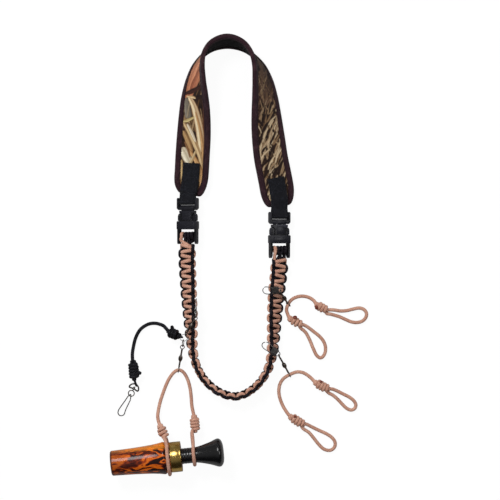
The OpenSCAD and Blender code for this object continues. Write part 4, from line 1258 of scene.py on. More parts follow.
def lead(M, points, lean=0.25, sizes=(1.0, 1.0)):
    """Ribbon rows in a buckle's frame, facing outward from the bar near it."""
    rows = []
    for x, y, z in points:
        if y > -29.5:
            out = vec(0, y - BAR_Y, z)
        else:
            out = vec(lean * (1 if x > 0 else -1), 0, 1.0 if z > -0.5 else -1.0)
        rows.append(np.concatenate([place(M, (x, y, z)), turn(M, unit(out)), sizes]))
    return rows


def weave(name, points, r, material, node, slot, x, left_leave, right_enter):
    """One working cord; x is +1 or -1 for the side of the bars it goes round."""
    rows = lead(LEFT_BUCKLE, [(6.0 * x, -29.6, -3.0), (6.3 * x, BAR_Y, -3.55)]
                + [(6.3 * x, y, z) for y, z in BAR_TURN] + left_leave)
    for s, u, h, flat in points:
        _, across, out, _ = braid.frame(s)
        outward = unit(u * across * 0.75 + h * 1.7 * out)
        rows.append(np.concatenate([braid.point(s, u, h), outward,
                                    [1 + 0.08 * flat, 1 - 0.12 * flat]]))
    rows += lead(RIGHT_BUCKLE, right_enter + [(6.3 * x, y, z) for y, z in BAR_TURN[::-1]]
                 + [(6.2 * x, BAR_Y, -3.5), (6.0 * x, -30.2, -3.0)])
    bag = Bag()
    bag.ribbon(smooth(rows, 4), r)
    bag.make(name, "braid", material, slot, node)


def core_cords():
    """Two straight cords inside the weave, looped round both bars."""
    bag = Bag()
    for x in (1, -1):
        loop = [(2.1 * x, y, z) for y, z in
                ((-33.5, -2.2), (-30.5, -2.9), (BAR_Y, -3.5), (-26.0, -2.3), (-25.5, 0),
                 (-26.0, 2.3), (BAR_Y, 3.5), (-31.0, 2.4))]
        rows = lead(LEFT_BUCKLE, loop, 0, (1.85, 1.7))
        for s in np.arange(2.0, braid.length - 1.0, 3.0):
            k = min(1.0, min(s, braid.length - s) / 8)
            rows.append(np.concatenate([braid.point(s, (2.1 + 1.2 * k) * x, 0),
                                        braid.frame(s)[2], [1.85 + 1.45 * k, 1.7 - 0.1 * k]]))
        rows += lead(RIGHT_BUCKLE, loop[::-1], 0, (1.85, 1.7))
        bag.ribbon(smooth(rows, 3))
    bag.make("weave_core", "braid", BLACK, "black_cord", "braid_core_cords")


weave("weave_tan", working_cord(1), 1.9, TAN, "braid_tan_cord", "tan_cord", -1,
      [(-6.4, -30.6, 3.3), (-6.8, -34.2, 2.2)], [(-6.6, -34.6, 2.2), (-6.3, -30.8, 3.2)])
weave("weave_black", working_cord(-1), 2.05, BLACK, "braid_black_cord", "black_cord", 1,
      [(6.6, -30.8, 2.4), (6.6, -33.6, -1.2)], [(6.4, -34.2, -1.4), (6.3, -30.8, 2.6)])
core_cords()

# ---------------------------------------------------------------- snaps
# Each snap's frame has X along it, from its mouth towards the end loop.
SNAP_L, WIRE, EYE_W = 24.0, 0.5, 0.55
SNAP_FIXED = [
    (15.4, 2.5, 0), (18, 2.8, 0), (21, 2.7, 0), (23.1, 1.8, 0), (SNAP_L, 0, 0),
    (23.1, -1.8, 0), (21, -2.7, 0), (16, -3.5, 0), (10, -4.1, 0), (5, -4.2, 0), (1.6, -3, 0),
    (0.3, -0.6, 0), (0.6, 1.4, 0), (1.7, 2.9, 0)]
SNAP_GATE = [(3.3, 4.1, 0), (5.2, 4.5, 0), (8.6, 4.2, 0), (11.6, 3.6, 0), (13.8, 3.1, 0)]
UPPER_HANG, LOWER_HANG = vec(56.005, -56.695, 3.9), vec(57.5, -137.655, 3.9)
left_snap = pose_x(vec(-49.68, -49.795, 13.6), vec(-0.6, -21.4, 11), vec(0, 1, 2.2))
upper_snap = pose_x(vec(26.45, -40.595, 12.4), vec(20.6, 0.8, 11.4), vec(0, 1, 0.4))
lower_snap = pose_x(vec(26.105, -100.625, 21.4), vec(18.9, -12.9, -0.6), vec(12.9, 18.9, 8))


def loop_point(M, degrees):
    a = radians(degrees)
    return place(M, (SNAP_L - 3 + 3 * cos(a), 2.8 * sin(a), 0))


def loop_tangent(M, degrees):
    a = radians(degrees)
    return turn(M, (-sin(a), cos(a), 0))


def snap(name, M, wire):
    for part, way, body in (("wire", SNAP_FIXED, "braid"), ("gate", SNAP_GATE, f"{name}_gate")):
        bag = Bag()
        bag.tube(place_all(M, smooth(way, 8)), WIRE, side=turn(M, UP))
        bag.make(f"{name}_snap_{part}_bent", body, wire, "dark_wire", f"{name}_snap_{part}")
    # folded sheet clasp with a rolled back and two pressed dimples
    bag, rings = Bag(), []
    outer, inner = 1.12, 0.62
    for i in range(13):
        ease = 0.35 * (1 - min(1, min(i, 12 - i) / 1.5))
        low, high = -4.9 + ease, 4.3 - ease
        dimple = 0.16 * (math.exp(-((i - 3.5) ** 2) / 2.2) + math.exp(-((i - 8.5) ** 2) / 2.2))
        outside = [(high, inner), (high, outer - 0.1), (high - 0.3, outer), (1.5, outer),
                   (0, outer - dimple), (-1.5, outer), (low + 0.9, outer),
                   (low + 0.25, outer - 0.35), (low, 0.4)]
        inside = [(1.5, -inner), (-1.5, -inner), (low + 1.0, -inner), (low + 0.62, -0.3)]
        section = outside + flip(outside) + inside + flip(inside)
        rings.append([place(M, (12.6 + 8 * i / 12, y, z)) for y, z in section])
    bag.skin(rings)
    bag.make(f"{name}_snap_clasp_folded", "braid", GUN, "dark_wire", f"{name}_snap_clasp",
             sharp=50)


snap("left", left_snap, BRIGHT)
snap("upper", upper_snap, GUN)
snap("lower", lower_snap, GUN)

# ---------------------------------------------------------------- barrel swivels and rings
BARREL_L, EYE_R, BIG_EYE_R = 8.0, 2.3, 2.9
BARREL_HALF = [
    (0.66, 2.9), (0.66, 4.0), (1.0, 4.05), (1.28, 3.9), (1.34, 3.6), (1.5, 3.35),
    (1.62, 2.95), (1.75, 2.7), (2.05, 2.2), (2.3, 1.65), (2.38, 1.25), (2.3, 1.1),
    (2.32, 0.95), (2.42, 0.8)]                 # radius, z


def swivel_eye(M, stem, radius):
    """Ring with its wire's end wound round the neck."""
    bag, neck = Bag(), BARREL_L / 2
    bag.tube(place_all(M, [(0, 0, z) for z in np.linspace(0.4, neck + stem + 0.1, 8)]), 0.58,
             round_ends=False)
    bag.lathe([(0.0, 0.3), (0.3, 0.3), (1.05, 0.35), (1.1, 0.5), (1.1, 1.3), (1.0, 1.5),
               (0.3, 1.5), (0.0, 1.5)], M, 24)
    start, end, per_turn = neck + 0.45, neck + stem - 0.15, 14
    count = max(2, round((end - start) / 0.72)) * per_turn
    coil = []
    for i in range(count + 1):
        a = 2 * pi * i / per_turn
        coil.append(place(M, (0.72 * cos(a), 0.72 * sin(a), start + (end - start) * i / count)))
    bag.tube(coil, 0.36, n=8, side=turn(M, UP))
    centre = neck + stem + radius
    bag.tube([place(M, (radius * sin(a), 0, centre - radius * cos(a)))
              for a in np.linspace(0, 2 * pi, 41)[:-1]], EYE_W - 0.06,
             side=turn(M, (0, 1, 0)), closed=True)
    return bag


def swivel(name, start, end, lower_r, sides, bodies, eyes=("top", "low")):
    """Upper eye, barrel and lower eye between two points."""
    direction = unit(end - start)
    top = start + direction * (EYE_R - EYE_W - WIRE - 0.5)
    stem = (np.linalg.norm(end - top) - EYE_R - lower_r - BARREL_L) / 2
    middle = top + direction * (EYE_R + stem + BARREL_L / 2)
    swivel_eye(pose_z(middle, -direction, sides[0]), stem, EYE_R).make(
        f"{name}_eye_a", bodies[0], SWIVEL, "swivel_black", f"{name}_swivel_{eyes[0]}_eye")
    bag = Bag()
    profile = BARREL_HALF + flip(BARREL_HALF) + [(1.3, -2.4), (1.3, 2.4)]
    bag.lathe(profile, pose_z(middle, direction, UP), 40)
    bag.make(f"{name}_barrel_turned", bodies[1], SWIVEL, "swivel_black",
             f"{name}_swivel_barrel", sharp=45)
    swivel_eye(pose_z(middle, direction, sides[1]), stem, lower_r).make(
        f"{name}_eye_b", bodies[2], SWIVEL, "swivel_black", f"{name}_swivel_{eyes[1]}_eye")


RING_R, LINK_R = 4.2, 4.0
LEFT_ANGLE, UPPER_ANGLE, LOWER_ANGLE = -46, -50, -24   # where each swivel sits on its snap loop
RING_AT, CALL_HANG = vec(-63.71, -94.415, 16.4), vec(-70.38, -132.135, 3.9)
left_start = loop_point(left_snap, LEFT_ANGLE)
left_dir = unit(RING_AT - left_start)
left_end = RING_AT - left_dir * (RING_R + EYE_R - 2 * EYE_W - 0.25)
link_dir = unit(CALL_HANG - RING_AT)
link_at = RING_AT + link_dir * (RING_R + LINK_R - 2 * EYE_W - 0.25)
ring_axis = unit(np.cross(left_dir, link_dir))
hold_dir = unit(np.cross(ring_axis, left_dir + link_dir))
hold_dir = hold_dir if hold_dir[0] < 0 else -hold_dir
ring_hold = RING_AT + RING_R * hold_dir                # where the tether holds the ring

swivel("left", left_start, left_end, EYE_R,
       (loop_tangent(left_snap, LEFT_ANGLE), np.cross(ring_axis, left_dir)),
       ("left_clip_eye", "left_barrel", "left_ring"), ("upper", "lower"))


def split_ring():
    """Two flat coils of wire."""
    bag, M, coil = Bag(), pose_z(RING_AT, ring_axis, left_dir), []
    for i in range(85):
        a = 2 * pi * i / 42 + 0.6
        coil.append(place(M, (RING_R * cos(a), RING_R * sin(a), -0.27 + 0.54 * i / 84)))
    bag.tube(coil, 0.3, n=10, side=ring_axis)
    bag.make("split_ring_coil", "left_ring", BRIGHT, "bright_wire", "split_ring")


def chain_link():
    bag, M = Bag(), pose_z(link_at, np.cross(ring_axis, link_dir), link_dir)
    bag.tube(circle(M, LINK_R, 48), 0.5, n=14, side=turn(M, UP), closed=True)
    bag.make("chain_link_wire", "call_link", BRIGHT, "bright_wire", "call_chain_link")


split_ring()
chain_link()
swivel("call", link_at + link_dir * LINK_R, CALL_HANG, BIG_EYE_R, (ring_axis, vec(1, 0, 0)),
       ("call_eye", "call_swivel", "call_hanger"), ("upper", "lower"))
for name, M, end, angle, side in (
        ("upper", upper_snap, UPPER_HANG, UPPER_ANGLE, vec(-1, -2, 0)),
        ("lower", lower_snap, LOWER_HANG, LOWER_ANGLE, vec(-2.2, -1, 0))):
    swivel(name, loop_point(M, angle), end, BIG_EYE_R, (loop_tangent(M, angle), side),
           (f"{name}_eye", f"{name}_barrel", f"{name}_hanger"))

# ---------------------------------------------------------------- cord drops
REST = 2.15                        # height of a cord's centre on the table


def wound(bag, a, c, r, turns, size, seed):
    """Barrel knot: a cord wound round its own two strands, its ends tucked in."""
    axis = unit(c - a)
    length = np.linalg.norm(c - a)
    M = pose_z(a, axis, vec(0.1, 0.2, 1))
    phase = random.Random(seed).uniform(0, 6.28)
    n, coil = turns * 22, []
    for i in range(n + 1):
        angle = 2 * pi * i / 22 + phase
        z = size + (length - 2.0 * size) * i / n + 0.55 * sin(angle + 0.8)
        wobble = 1 + 0.04 * sin(i * 0.31 + phase)
        radius = (r - size) * (0.5 + 0.5 * min(1, min(i, n - i) / 8)) * wobble
        coil.append(place(M, (radius * cos(angle), radius * sin(angle), z)))
    bag.tube(coil, size, n=14, side=axis)
    for sign in (1, -1):
        bag.tube([place(M, (sign * 1.7 * cos(1.2 * t), sign * 1.7 * sin(1.2 * t), length * t))
                  for t in np.linspace(-0.02, 1.02, 8)], size * 0.92, n=10)


def blob(bag, p, axis, r):
    """Melted end of a cord."""
    profile = [(0, -0.4), (0.6, -0.4), (0.86, -0.2), (1, 0.1), (0.95, 0.4), (0.7, 0.62),
               (0.3, 0.72), (0, 0.74)]         # radius in r, z in lengths
    bag.lathe([(a * r, z * r * 1.15) for a, z in profile], pose_z(p, axis, vec(0.2, 0.1, 1)),
              20)


def tucked(strand, knots):
    """A strand with both ends led on into the nearest knot."""
    def inner(p):
        p = np.asarray(p, float)
        inside = []
        for a, c in knots:
            f = float(np.dot(p - a, c - a) / np.dot(c - a, c - a))
            inside.append(a + (c - a) * max(0.3, min(0.7, f)))
        return p + (min(inside, key=lambda q: np.linalg.norm(p - q)) - p) * 0.72
    return [inner(strand[0])] + list(strand) + [inner(strand[-1])]


def drop(name, strands, knots, ends, knot_r, seed, side=UP):
    """ends: cut cord ends out of the knots, as place, direction, blob radius, length."""
    bag = Bag()
    for i, strand in enumerate(strands):
        bag.tube(smooth(tucked(strand, knots), 6), 2.0, n=14, side=side if i else UP)
    bag.make(f"{name}_cord_laid", name, TAN, "tan_cord", f"{name}_cord")
    bag = Bag()
    for i, (a, c) in enumerate(knots):
        wound(bag, a, c, knot_r, 4 if np.linalg.norm(c - a) > 17 else 3, 1.9, seed + i)
    for p, direction, blob_r, length in ends:
        d = unit(direction)
        bag.tube([p - d * 2.5, p, p + d * length], 1.75)
        if blob_r:
            bag.material = 1
            blob(bag, p + d * length, direction, blob_r)
            bag.material = 0
    bag.make(f"{name}_knots_wound", name, [TAN, BURNT], "tan_cord", f"{name}_knots")


# strands of x, y, z; the first passes through the swivel's eye, the others are loops
UPPER_STRANDS = [
    [(88.09, -56.35, 5.6), (85.79, -52.555, 4), (81.305, -49.335, REST),
     (76.475, -47.61, REST), (70.84, -47.15, REST), (65.32, -48.3, REST),
     (60.605, -50.715, 2.9), (57.385, -53.935, 3.7), UPPER_HANG, (54.625, -59.455, 3.7),
     (54.05, -63.365, 2.9), (55.2, -67.39, 3.4), (57.04, -71.875, 5.6)],
    [(101.2, -62.905, 5.4), (105.11, -62.79, 4.6), (109.48, -63.135, 3.4),
     (116.15, -64.17, 2.3), (123.165, -63.825, REST), (130.065, -62.215, REST),
     (137.08, -60.835, REST), (142.6, -62.1, REST), (146.05, -66.125, REST),
     (145.705, -71.185, REST), (141.91, -75.555, REST), (135.7, -77.51, REST),
     (128.685, -76.705, REST), (121.785, -73.83, REST), (114.77, -70.725, 2.3),
     (108.56, -68.885, 3.2), (104.42, -67.735, 4.4), (100.51, -67.045, 5.2)],
    [(73.14, -79.925, 5.4), (76.82, -81.65, 4.2), (80.04, -83.835, 3),
     (84.755, -87.515, REST), (91.77, -93.15, REST), (96.6, -99.015, REST),
     (98.9, -105.455, REST), (98.555, -112.125, REST), (95.91, -116.84, REST),
     (92.345, -118.105, REST), (88.32, -114.655, REST), (84.755, -107.18, REST),
     (81.19, -98.555, REST), (77.395, -90.965, 3), (74.29, -87.055, 4.2),
     (70.61, -84.065, 5.2)]]
LOWER_STRANDS = [
    [(86.71, -145.935, 5.6), (82.685, -141.795, 3.6), (77.51, -137.655, REST),
     (72.335, -135.125, 2.4), (66.47, -134.435, 3.1), (61.18, -135.93, 3.7), LOWER_HANG,
     (53.59, -139.725, 3.7), (49.45, -143.405, 2.6), (46.345, -149.04, REST),
     (45.195, -156.4, REST), (46.345, -164.45, REST), (49.68, -173.19, REST),
     (54.05, -180.435, 3.4), (57.845, -185.035, 5.6)],
    [(104.88, -153.755, 5.4), (108.1, -154.445, 4.4), (112.24, -156.285, 3),
     (119.255, -159.85, REST), (126.615, -163.645, REST), (131.79, -167.9, REST),
     (133.975, -172.5, REST), (132.48, -176.755, REST), (128.11, -178.365, REST),
     (122.935, -176.065, REST), (117.99, -171.235, REST), (113.39, -166.405, 2.4),
     (108.1, -161.69, 3.6), (101.89, -158.01, 5)],
    [(76.13, -194.235, 5.4), (79.35, -195.615, 4.4), (83.49, -197.915, 3),
     (91.425, -201.825, REST), (99.475, -205.505, REST), (106.145, -209.875, REST),
     (109.825, -215.05, REST), (109.825, -220.11, REST), (106.835, -223.79, REST),
     (102.465, -224.94, REST), (96.6, -223.1, REST), (90.735, -217.465, REST),
     (85.1, -210.335, 2.2), (79.81, -204.125, 3.4), (73.14, -199.525, 5)]]
CALL_STRAND = [
    (-91.54, -194.695, 11.6), (-93.61, -189.405, 8.6), (-94.185, -183.08, 5),
    (-92.345, -172.155, 2.6), (-89.7, -162.955, REST), (-85.79, -152.145, REST),
    (-81.65, -142.945, 2.4), (-76.13, -135.355, 3.4), CALL_HANG, (-64.63, -134.895, 3.4),
    (-60.03, -142.945, 2.4), (-57.27, -152.605, REST), (-55.89, -162.955, REST),
    (-55.085, -172.845, 3.6), (-53.705, -179.745, 5.6), (-52.555, -184.345, 6.8)]

# The call lies along call_axis from its mouth; call_across is square to it on the table.
CALL_Z, CALL_TURN = 21.4, radians(5.8)
CALL_MOUTH = vec(-146.97, -237.935, CALL_Z)
call_axis = vec(cos(CALL_TURN), sin(CALL_TURN), 0)
call_across = vec(-sin(CALL_TURN), cos(CALL_TURN), 0)


def by_call(s, v, z):
    return CALL_MOUTH + s * call_axis + v * call_across + UP * (z - CALL_Z)


def noose(s, radius, degrees):
    """Part of a loop round the call."""
    return [by_call(s, radius * cos(radians(a)), CALL_Z + radius * sin(radians(a)))
            for a in degrees]


barrel_noose = ([by_call(63.4, 22.8, 20.6), by_call(64.8, 20.3, 27)]
                + noose(65.9, 19.35, range(38, 325, 26))
                + [by_call(64.8, 21.8, 12.6), by_call(63, 23.4, 15.2)])
insert_noose = ([by_call(95.6, 25.2, 11.8), by_call(95.8, 19, 19), by_call(95.8, 12.4, 26.6)]
                + noose(95.2, 11.2, range(64, 301, 26))
                + [by_call(94.9, 15, 9), by_call(95.2, 24.8, 7)])
drop("upper_drop", UPPER_STRANDS,
     [(vec(88.32, -56.695, 6), vec(100.74, -64.055, 6)),
      (vec(57.27, -72.335, 6), vec(71.3, -81.075, 6))],
     [(vec(89.93, -59.8, 8.5), vec(-1.0, -0.1, 0.5), 2.6, 1.2),
      (vec(63.71, -72.335, 9.8), vec(0, 1.0, 0.6), 2.5, 0.8)], knot_r=5.5, seed=10)
drop("lower_drop", LOWER_STRANDS,
     [(vec(86.94, -146.395, 6), vec(102.58, -154.905, 6)),
      (vec(58.19, -185.495, 6), vec(73.83, -195.615, 6))],
     [(vec(93.61, -146.165, 9.6), vec(-0.1, 1, 0.9), 1.8, 1.0),
      (vec(63.71, -186.185, 9.6), vec(0, 1, 0.9), 1.8, 1.0)], knot_r=5.7, seed=10)
drop("call_drop", [CALL_STRAND, barrel_noose, insert_noose],
     [(vec(-91.31, -195.385, 12), vec(-85.1, -209.645, 18)),
      (vec(-52.44, -185.035, 7), vec(-50.83, -202.515, 9.5))],
     [(vec(-91.08, -204.355, 18), vec(-1, 0.2, 0.5), 0, 1.0),
      (vec(-48.3, -188.715, 11.5), vec(0.8, 0.8, 0.5), 0, 0.6)],
     knot_r=5.7, seed=9, side=call_axis)

# ---------------------------------------------------------------- black tether and hook
TETHER_WAY = [
    (-82.11, -87.285, 6.2), (-85.33, -83.605, 4.2), (-89.01, -80.615, 2.7),
    (-97.175, -78.43, 2.25), (-105.915, -79.695, 2.25), (-114.54, -85.675, 2.25),
    (-119.945, -95.45, 2.25), (-122.705, -106.95, 2.4), (-123.625, -114.655, 3.2),
    (-123.05, -122.245, 5.8)]
TETHER_KNOTS = [(vec(-69.23, -92.805, 10.6), vec(-82.11, -87.745, 6.6)),
                (vec(-122.59, -122.245, 6.6), vec(-121.325, -142.945, 6.4))]
D_BAR, D_R = vec(-122.13, -153.755, 3), 5.7
hook_dir = unit(vec(-19.665, -38.41, -1.4))
hook_pose = pose_z(D_BAR, hook_dir, UP)        # Z from the D ring's bar towards the hook's tip


def bight(bag, start, end):
    """Doubled cord from a knot round the wire at the end point."""
    n, d = np.linalg.norm(end - start), unit(end - start)
    side = unit(np.cross(d, UP))
    h = np.cross(side, d)
    path = [d * 0.2 + h * 2.1, d * (n * 0.5) + h * 2.3, d * (n - 0.1) + h * 2.15,
            d * (n + 2.05), d * (n - 0.1) - h * 2.15, d * (n * 0.5) - h * 2.3,
            d * 0.2 - h * 2.1]
    bag.tube([start + p for p in smooth(path, 6)], 1.15, side=side)


def tether():
    bag = Bag()
    bag.tube(smooth(TETHER_WAY, 8), 2.05, n=14)
    bight(bag, TETHER_KNOTS[0][0], ring_hold)
    bight(bag, TETHER_KNOTS[1][1], D_BAR - D_R * hook_dir)
    bag.make("tether_cord_laid", "tether", TETHER, "black_cord", "tether_cord")
    bag = Bag()
    for i, turns in enumerate((3, 5)):
        wound(bag, *TETHER_KNOTS[i], 6.2, turns, 2.05, seed=5 + i)
    bag.tube([(-77.05, -84.295, 8), (-77.74, -82.225, 9.5)], 2.0)
    bag.tube([(-116.15, -134.665, 8), (-114.31, -135.585, 9)], 2.0)
    bag.make("tether_knots_wound", "tether", TETHER, "black_cord", "tether_knots")


def d_ring():
    """Wire bow whose ends run into a turned bead on the bar."""
    arc = [(-D_R * cos(radians(a)), 0, -D_R * sin(radians(a))) for a in range(10, 171, 8)]
    path = ([(-1.5, 0, 0), (-2.2, 0, 0.25), (-5.0, 0, 0.6), (-5.5, 0, 0.2), (-5.65, 0, -0.6)]
            + arc
            + [(5.65, 0, -0.6), (5.5, 0, 0.2), (5.0, 0, 0.6), (2.2, 0, 0.25), (1.5, 0, 0)])
    bag = Bag()
    bag.tube(place_all(hook_pose, smooth(path, 2)), 0.88, n=14,
             side=turn(hook_pose, (0, 1, 0)))
    bag.lathe([(0.69, -1.1), (1.2, -1.12), (1.5, -0.8), (1.56, 0), (1.5, 0.8), (1.2, 1.12),
               (0.69, 1.1)], hook_pose, 32)
    bag.make("d_ring_bent", "tether", HOOK, "dark_wire", "hook_d_ring")


def hook_eye():
    bag, radius = Bag(), 3.4
    bag.tube(place_all(hook_pose, [(0, 0, z) for z in np.linspace(-2.0, 2.75, 10)]), 0.62,
             n=14, round_ends=False)
    bag.lathe([(0, -2.55), (0.5, -2.55), (1.05, -2.3), (1.25, -1.9), (1.25, -1.45),
               (1.1, -1.32), (0.4, -1.32), (0, -1.32)], hook_pose, 28)
    bag.tube(place_all(hook_pose, [(radius * sin(a), 0, 6.0 - radius * cos(a))
                                   for a in np.linspace(0, 2 * pi, 49)[:-1]]),
             0.58, n=14, side=turn(hook_pose, (0, 1, 0)), closed=True)
    bag.make("hook_eye_bent", "hook_eye", SWIVEL, "swivel_black", "hook_swivel_eye")


HOOK_FIXED = [
    (2.2, -1, 12.7), (1.5, -1.35, 10.6), (0.7, -1.15, 8.6), (-0.1, 0, 7.6), (-1, 1.15, 8.6),
    (-1.8, 1.35, 11), (-2.3, 0.8, 15), (-3, 0, 20), (-3.9, 0, 26), (-4.2, 0, 30),
    (-3.3, 0, 33.3), (-0.7, 0, 34.8), (2.1, 0, 34), (3.6, 0, 31.6), (3.5, 0, 29.2)]
HOOK_GATE = [(2.35, -0.9, 13.4), (2.6, -0.7, 14.6), (2.6, -0.3, 16.8), (2.7, 0, 20),
             (2.8, 0, 24), (3.0, 0, 27), (3.3, 0, 28.5)]
tether()
d_ring()
hook_eye()
for part, way, body, side in (("wire", HOOK_FIXED, "hook", (0.3, 0, 1)),
                              ("gate", HOOK_GATE, "hook_catch", (0, 1, 0))):
    bag = Bag()
    bag.tube(place_all(hook_pose, smooth(way, 8)), WIRE + 0.1, side=turn(hook_pose, side))
    bag.make(f"hook_{part}_bent", body, HOOK, "bright_wire", f"hook_{part}")

# ---------------------------------------------------------------- duck call
# Z of the call's frame runs from the mouth, X is call_across and Y is up. Profiles are
# (radius, z).
call_pose = pose_z(CALL_MOUTH, call_axis, UP)
BORE, BORE_END, BAND_SEAT, INSERT_BORE = 8.6, 80.8, 15.7, 6.5


def rounded(points):
    return [(float(p[0]), float(p[1])) for p in smooth(points, 4)]


def call_barrel():
    outside = rounded([(14.3, 2), (14.45, 8), (14.7, 16), (15, 24), (15.4, 32), (15.9, 40),
                       (16.5, 47.5), (17.3, 54), (18.1, 58.6)])
    profile = [(8.0, 0.9), (8.3, 0.35), (9.0, 0.0), (12.3, 0.0), (13.2, 0.25), (13.9, 0.8),
               (14.2, 1.4)] + outside
    profile += [(18.42, 60.0), (18.5, 60.9), (18.42, 61.6), (18.1, 62.3), (17.5, 63.0),
                (17.1, 63.6), (17.0, 64.2), (17.0, 68.5), (BAND_SEAT, 68.5),
                (BAND_SEAT, BORE_END), (BORE, BORE_END), (BORE, 32.0), (8.0, 32.0)]
    bag = Bag()
    bag.lathe(profile, call_pose, 96)
    bag.make("call_barrel_turned_resin", "call_body",
             amber(CALL_MOUTH, call_axis, call_across), "amber_resin", "call_barrel",
             sharp=50)


def call_band():
    bag = Bag()
    bag.lathe([(15.73, 68.56), (16.9, 68.56), (17.15, 68.65), (17.3, 68.9), (17.34, 69.6),
               (17.24, 69.9), (17.24, 70.3), (17.34, 70.6), (17.36, 78.8), (17.26, 79.1),
               (17.26, 79.5), (17.36, 79.8), (17.3, 80.6), (17.1, 80.86), (16.8, 80.92),
               (15.73, 80.92)], call_pose, 96)
    bag.make("call_band_polished", "call_body", BRASS, "brass", "call_band", sharp=35)


def call_insert():
    """Stopper with two seal grooves, three ribs and a flared bell."""
    shoulder = 80.98
    profile = [(4.6, 60.0), (8.3, 60.0)]
    for groove in (63.4, 73.4):
        profile += [(8.3, groove), (7.1, groove), (7.1, groove + 2.2), (8.3, groove + 2.2)]
    profile.append((8.3, shoulder))
    for k in range(3):
        z = shoulder + 2.4 + k * 3.3
        profile += [(8.8, z - 2.3), (8.9, z - 2.0), (8.9, z - 0.2), (8.82, z + 0.05),
                    (8.66, z + 0.25), (8.66, z + 0.7)]
    profile += rounded([(8.9, 91.6), (8.8, 94), (8.8, 97), (9.3, 100.4), (10.2, 104.6),
                        (11.5, 109.4), (12.9, 114.2), (14.6, 118.6), (15.7, 121.4),
                        (16.15, 123.2), (16.1, 124.5), (15.5, 125.9), (14.1, 127.3),
                        (12, 128.4), (10, 129.0)])
    profile += [(8.8, 129.2), (7.6, 129.4), (6.9, 129.2), (INSERT_BORE, 128.7),
                (INSERT_BORE, 104.0), (4.6, 104.0)]
    bag = Bag()
    bag.lathe(profile, call_pose, 96)
    bag.make("call_insert_polished", "call_stopper", GLOSS, "insert_black", sharp=50)


def tone_board():
    """Half-round board with a channel along its top."""
    bag, rings, radius = Bag(), [], 7.5
    for z in (33.5, 35, 37, 39, 41, 43, 46, 49, 55, 60.6):
        top = float(np.interp(z, [33, 37, 43, 49, 61], [-2.3, -1.4, -0.6, -0.2, -0.08]))
        floor = -4.2 if z > 36.9 else top - 0.02
        a = math.acos(max(-1, min(1, top / radius)))
        section = [(radius * cos(q), radius * sin(q))
                   for q in np.linspace(a, 2 * pi - a, 17)]        # up, across
        section += [(top, -2.6), (floor, -2.5), (floor, 2.5), (top, 2.6)]
        rings.append([place(call_pose, (across, up, z)) for up, across in section])
    bag.skin(rings)
    bag.make("call_tone_board", "call_stopper", GLOSS, "insert_black", "call_insert",
             sharp=30)


call_barrel()
call_band()
call_insert()
tone_board()

# CAD pieces that are kept as they are, where the scene has them
for node, material in (("call_wedge", CORK), ("call_reed_long", FILM),
                       ("call_reed_short", FILM), ("call_o_rings", RUBBER)):
    ob = bpy.data.objects.get(node)
    if ob:
        if not ob.material_slots:
            ob.data.materials.append(material)
        for slot in ob.material_slots:
            slot.material = material
for ob in bpy.data.objects:
    if ob.type == "MESH":
        for slot in ob.material_slots:
            if slot.material is None:
                slot.material = PLASTIC

# ---------------------------------------------------------------- floor, light, camera
# Everything from here on is in metres.
scene = bpy.context.scene
WHITE = (1, 1, 1, 1)


def pale_table():
    """Glows near white to the camera, dark in reflections, clear from below."""
    m = Material("pale_table")
    rays = m.node("LightPath")
    pale = m.mix(m.grain(30, detail=2.0), (0.72, 0.72, 0.72, 1), (0.76, 0.76, 0.76, 1))
    m.surface(Base_Color=m.mix(m.out(rays, "Is Glossy Ray") * 0.72, pale,
                               (0.04, 0.035, 0.035, 1)),
              Roughness=0.9, Specular_IOR_Level=0.05)
    glow = m.add("Emission", {0: WHITE, 1: 1.02})
    top = m.add("MixShader", {0: m.out(rays, "Is Camera Ray") * 0.93,
                              1: m.out(m.principled, 0), 2: glow})
    below = m.out(m.node("NewGeometry"), "Backfacing")
    m.put(m.output.inputs[0],
          m.add("MixShader", {0: below, 1: top, 2: m.add("BsdfTransparent", {})}))
    return m.material


def table_top():
    half, z = 4.0, -0.0008
    mesh = bpy.data.meshes.new("table_top")
    mesh.from_pydata([(-half, -half, z), (half, -half, z), (half, half, z), (-half, half, z)],
                     [], [(0, 1, 2, 3)])
    floor = bpy.data.objects.new("table_top", mesh)
    scene.collection.objects.link(floor)
    mesh.materials.append(pale_table())


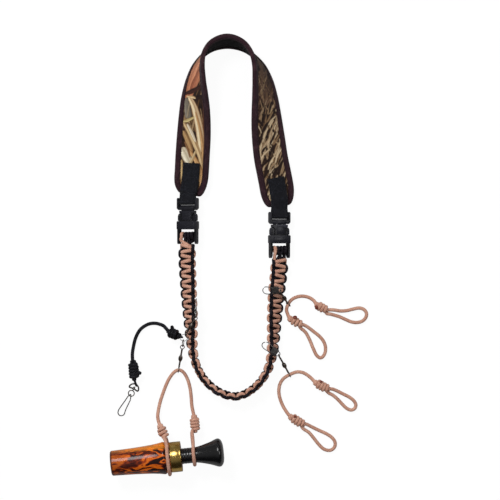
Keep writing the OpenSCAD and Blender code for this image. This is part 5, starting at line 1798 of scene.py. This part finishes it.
def studio():
    """World that is white to the camera, with softboxes for reflections and a soft gradient
    for the rest."""
    world = bpy.data.worlds.new("studio")
    scene.world = world
    world.use_nodes = True
    w = Shader(world.node_tree)
    background = world.node_tree.nodes["Background"]
    direction = w.add("TexCoord", {}, "Generated")
    rays = w.node("LightPath")

    def facing(axis, over, to):
        dot = w.add("VectorMath", {0: direction, 1: tuple(unit(axis))}, "Value",
                    operation="DOT_PRODUCT")
        return w.step(dot, over, to)
    main = (-0.2, 0.5, 0.84)
    reflected = (facing(main, over=(0.15, 0.8), to=(0.02, 0.19))
                 + facing(main, over=(0.965, 0.992), to=(0.0, 6.0))
                 + facing((0.6, 0.1, 0.8), over=(0.975, 0.995), to=(0.0, 2.5)))
    diffuse = facing((-0.3, 0.6, 0.75), over=(-0.5, 0.95), to=(0.16, 0.78))
    camera, glossy = w.out(rays, "Is Camera Ray"), w.out(rays, "Is Glossy Ray")
    w.put(background.inputs[0], WHITE)
    w.put(background.inputs[1], camera * 1.0 + (1.0 - camera)
          * (glossy * reflected + (1.0 - glossy) * diffuse))


def area(name, location, size, power):
    """Disk light aimed at the origin, unseen in reflections."""
    light = bpy.data.lights.new(name, "AREA")
    light.shape = "DISK"
    light.size = size
    light.energy = power
    ob = bpy.data.objects.new(name, light)
    ob.location = location
    ob.rotation_euler = (-Vector(location)).to_track_quat("-Z", "Y").to_euler()
    scene.collection.objects.link(ob)
    ob.visible_glossy = False


def overhead_camera():
    height, half_view, view_z = 2.300, 0.2875, 0.008   # half_view is met at height view_z
    camera = bpy.data.cameras.new("camera")
    ob = bpy.data.objects.new("camera", camera)
    scene.collection.objects.link(ob)
    ob.location = (0.01196, 0.006095, height)
    ob.rotation_euler = (0, 0, 0)
    camera.sensor_fit = "HORIZONTAL"
    camera.angle = 2 * math.atan(half_view / (height - view_z))
    camera.clip_end = 20
    camera.clip_start = 0.01
    scene.camera = ob


table_top()
studio()
area("key", (-0.7, 0.9, 1.5), size=0.5, power=26)
area("fill", (1.2, -0.3, 1.3), size=0.9, power=4)
overhead_camera()
scene.view_settings.view_transform = "Standard"
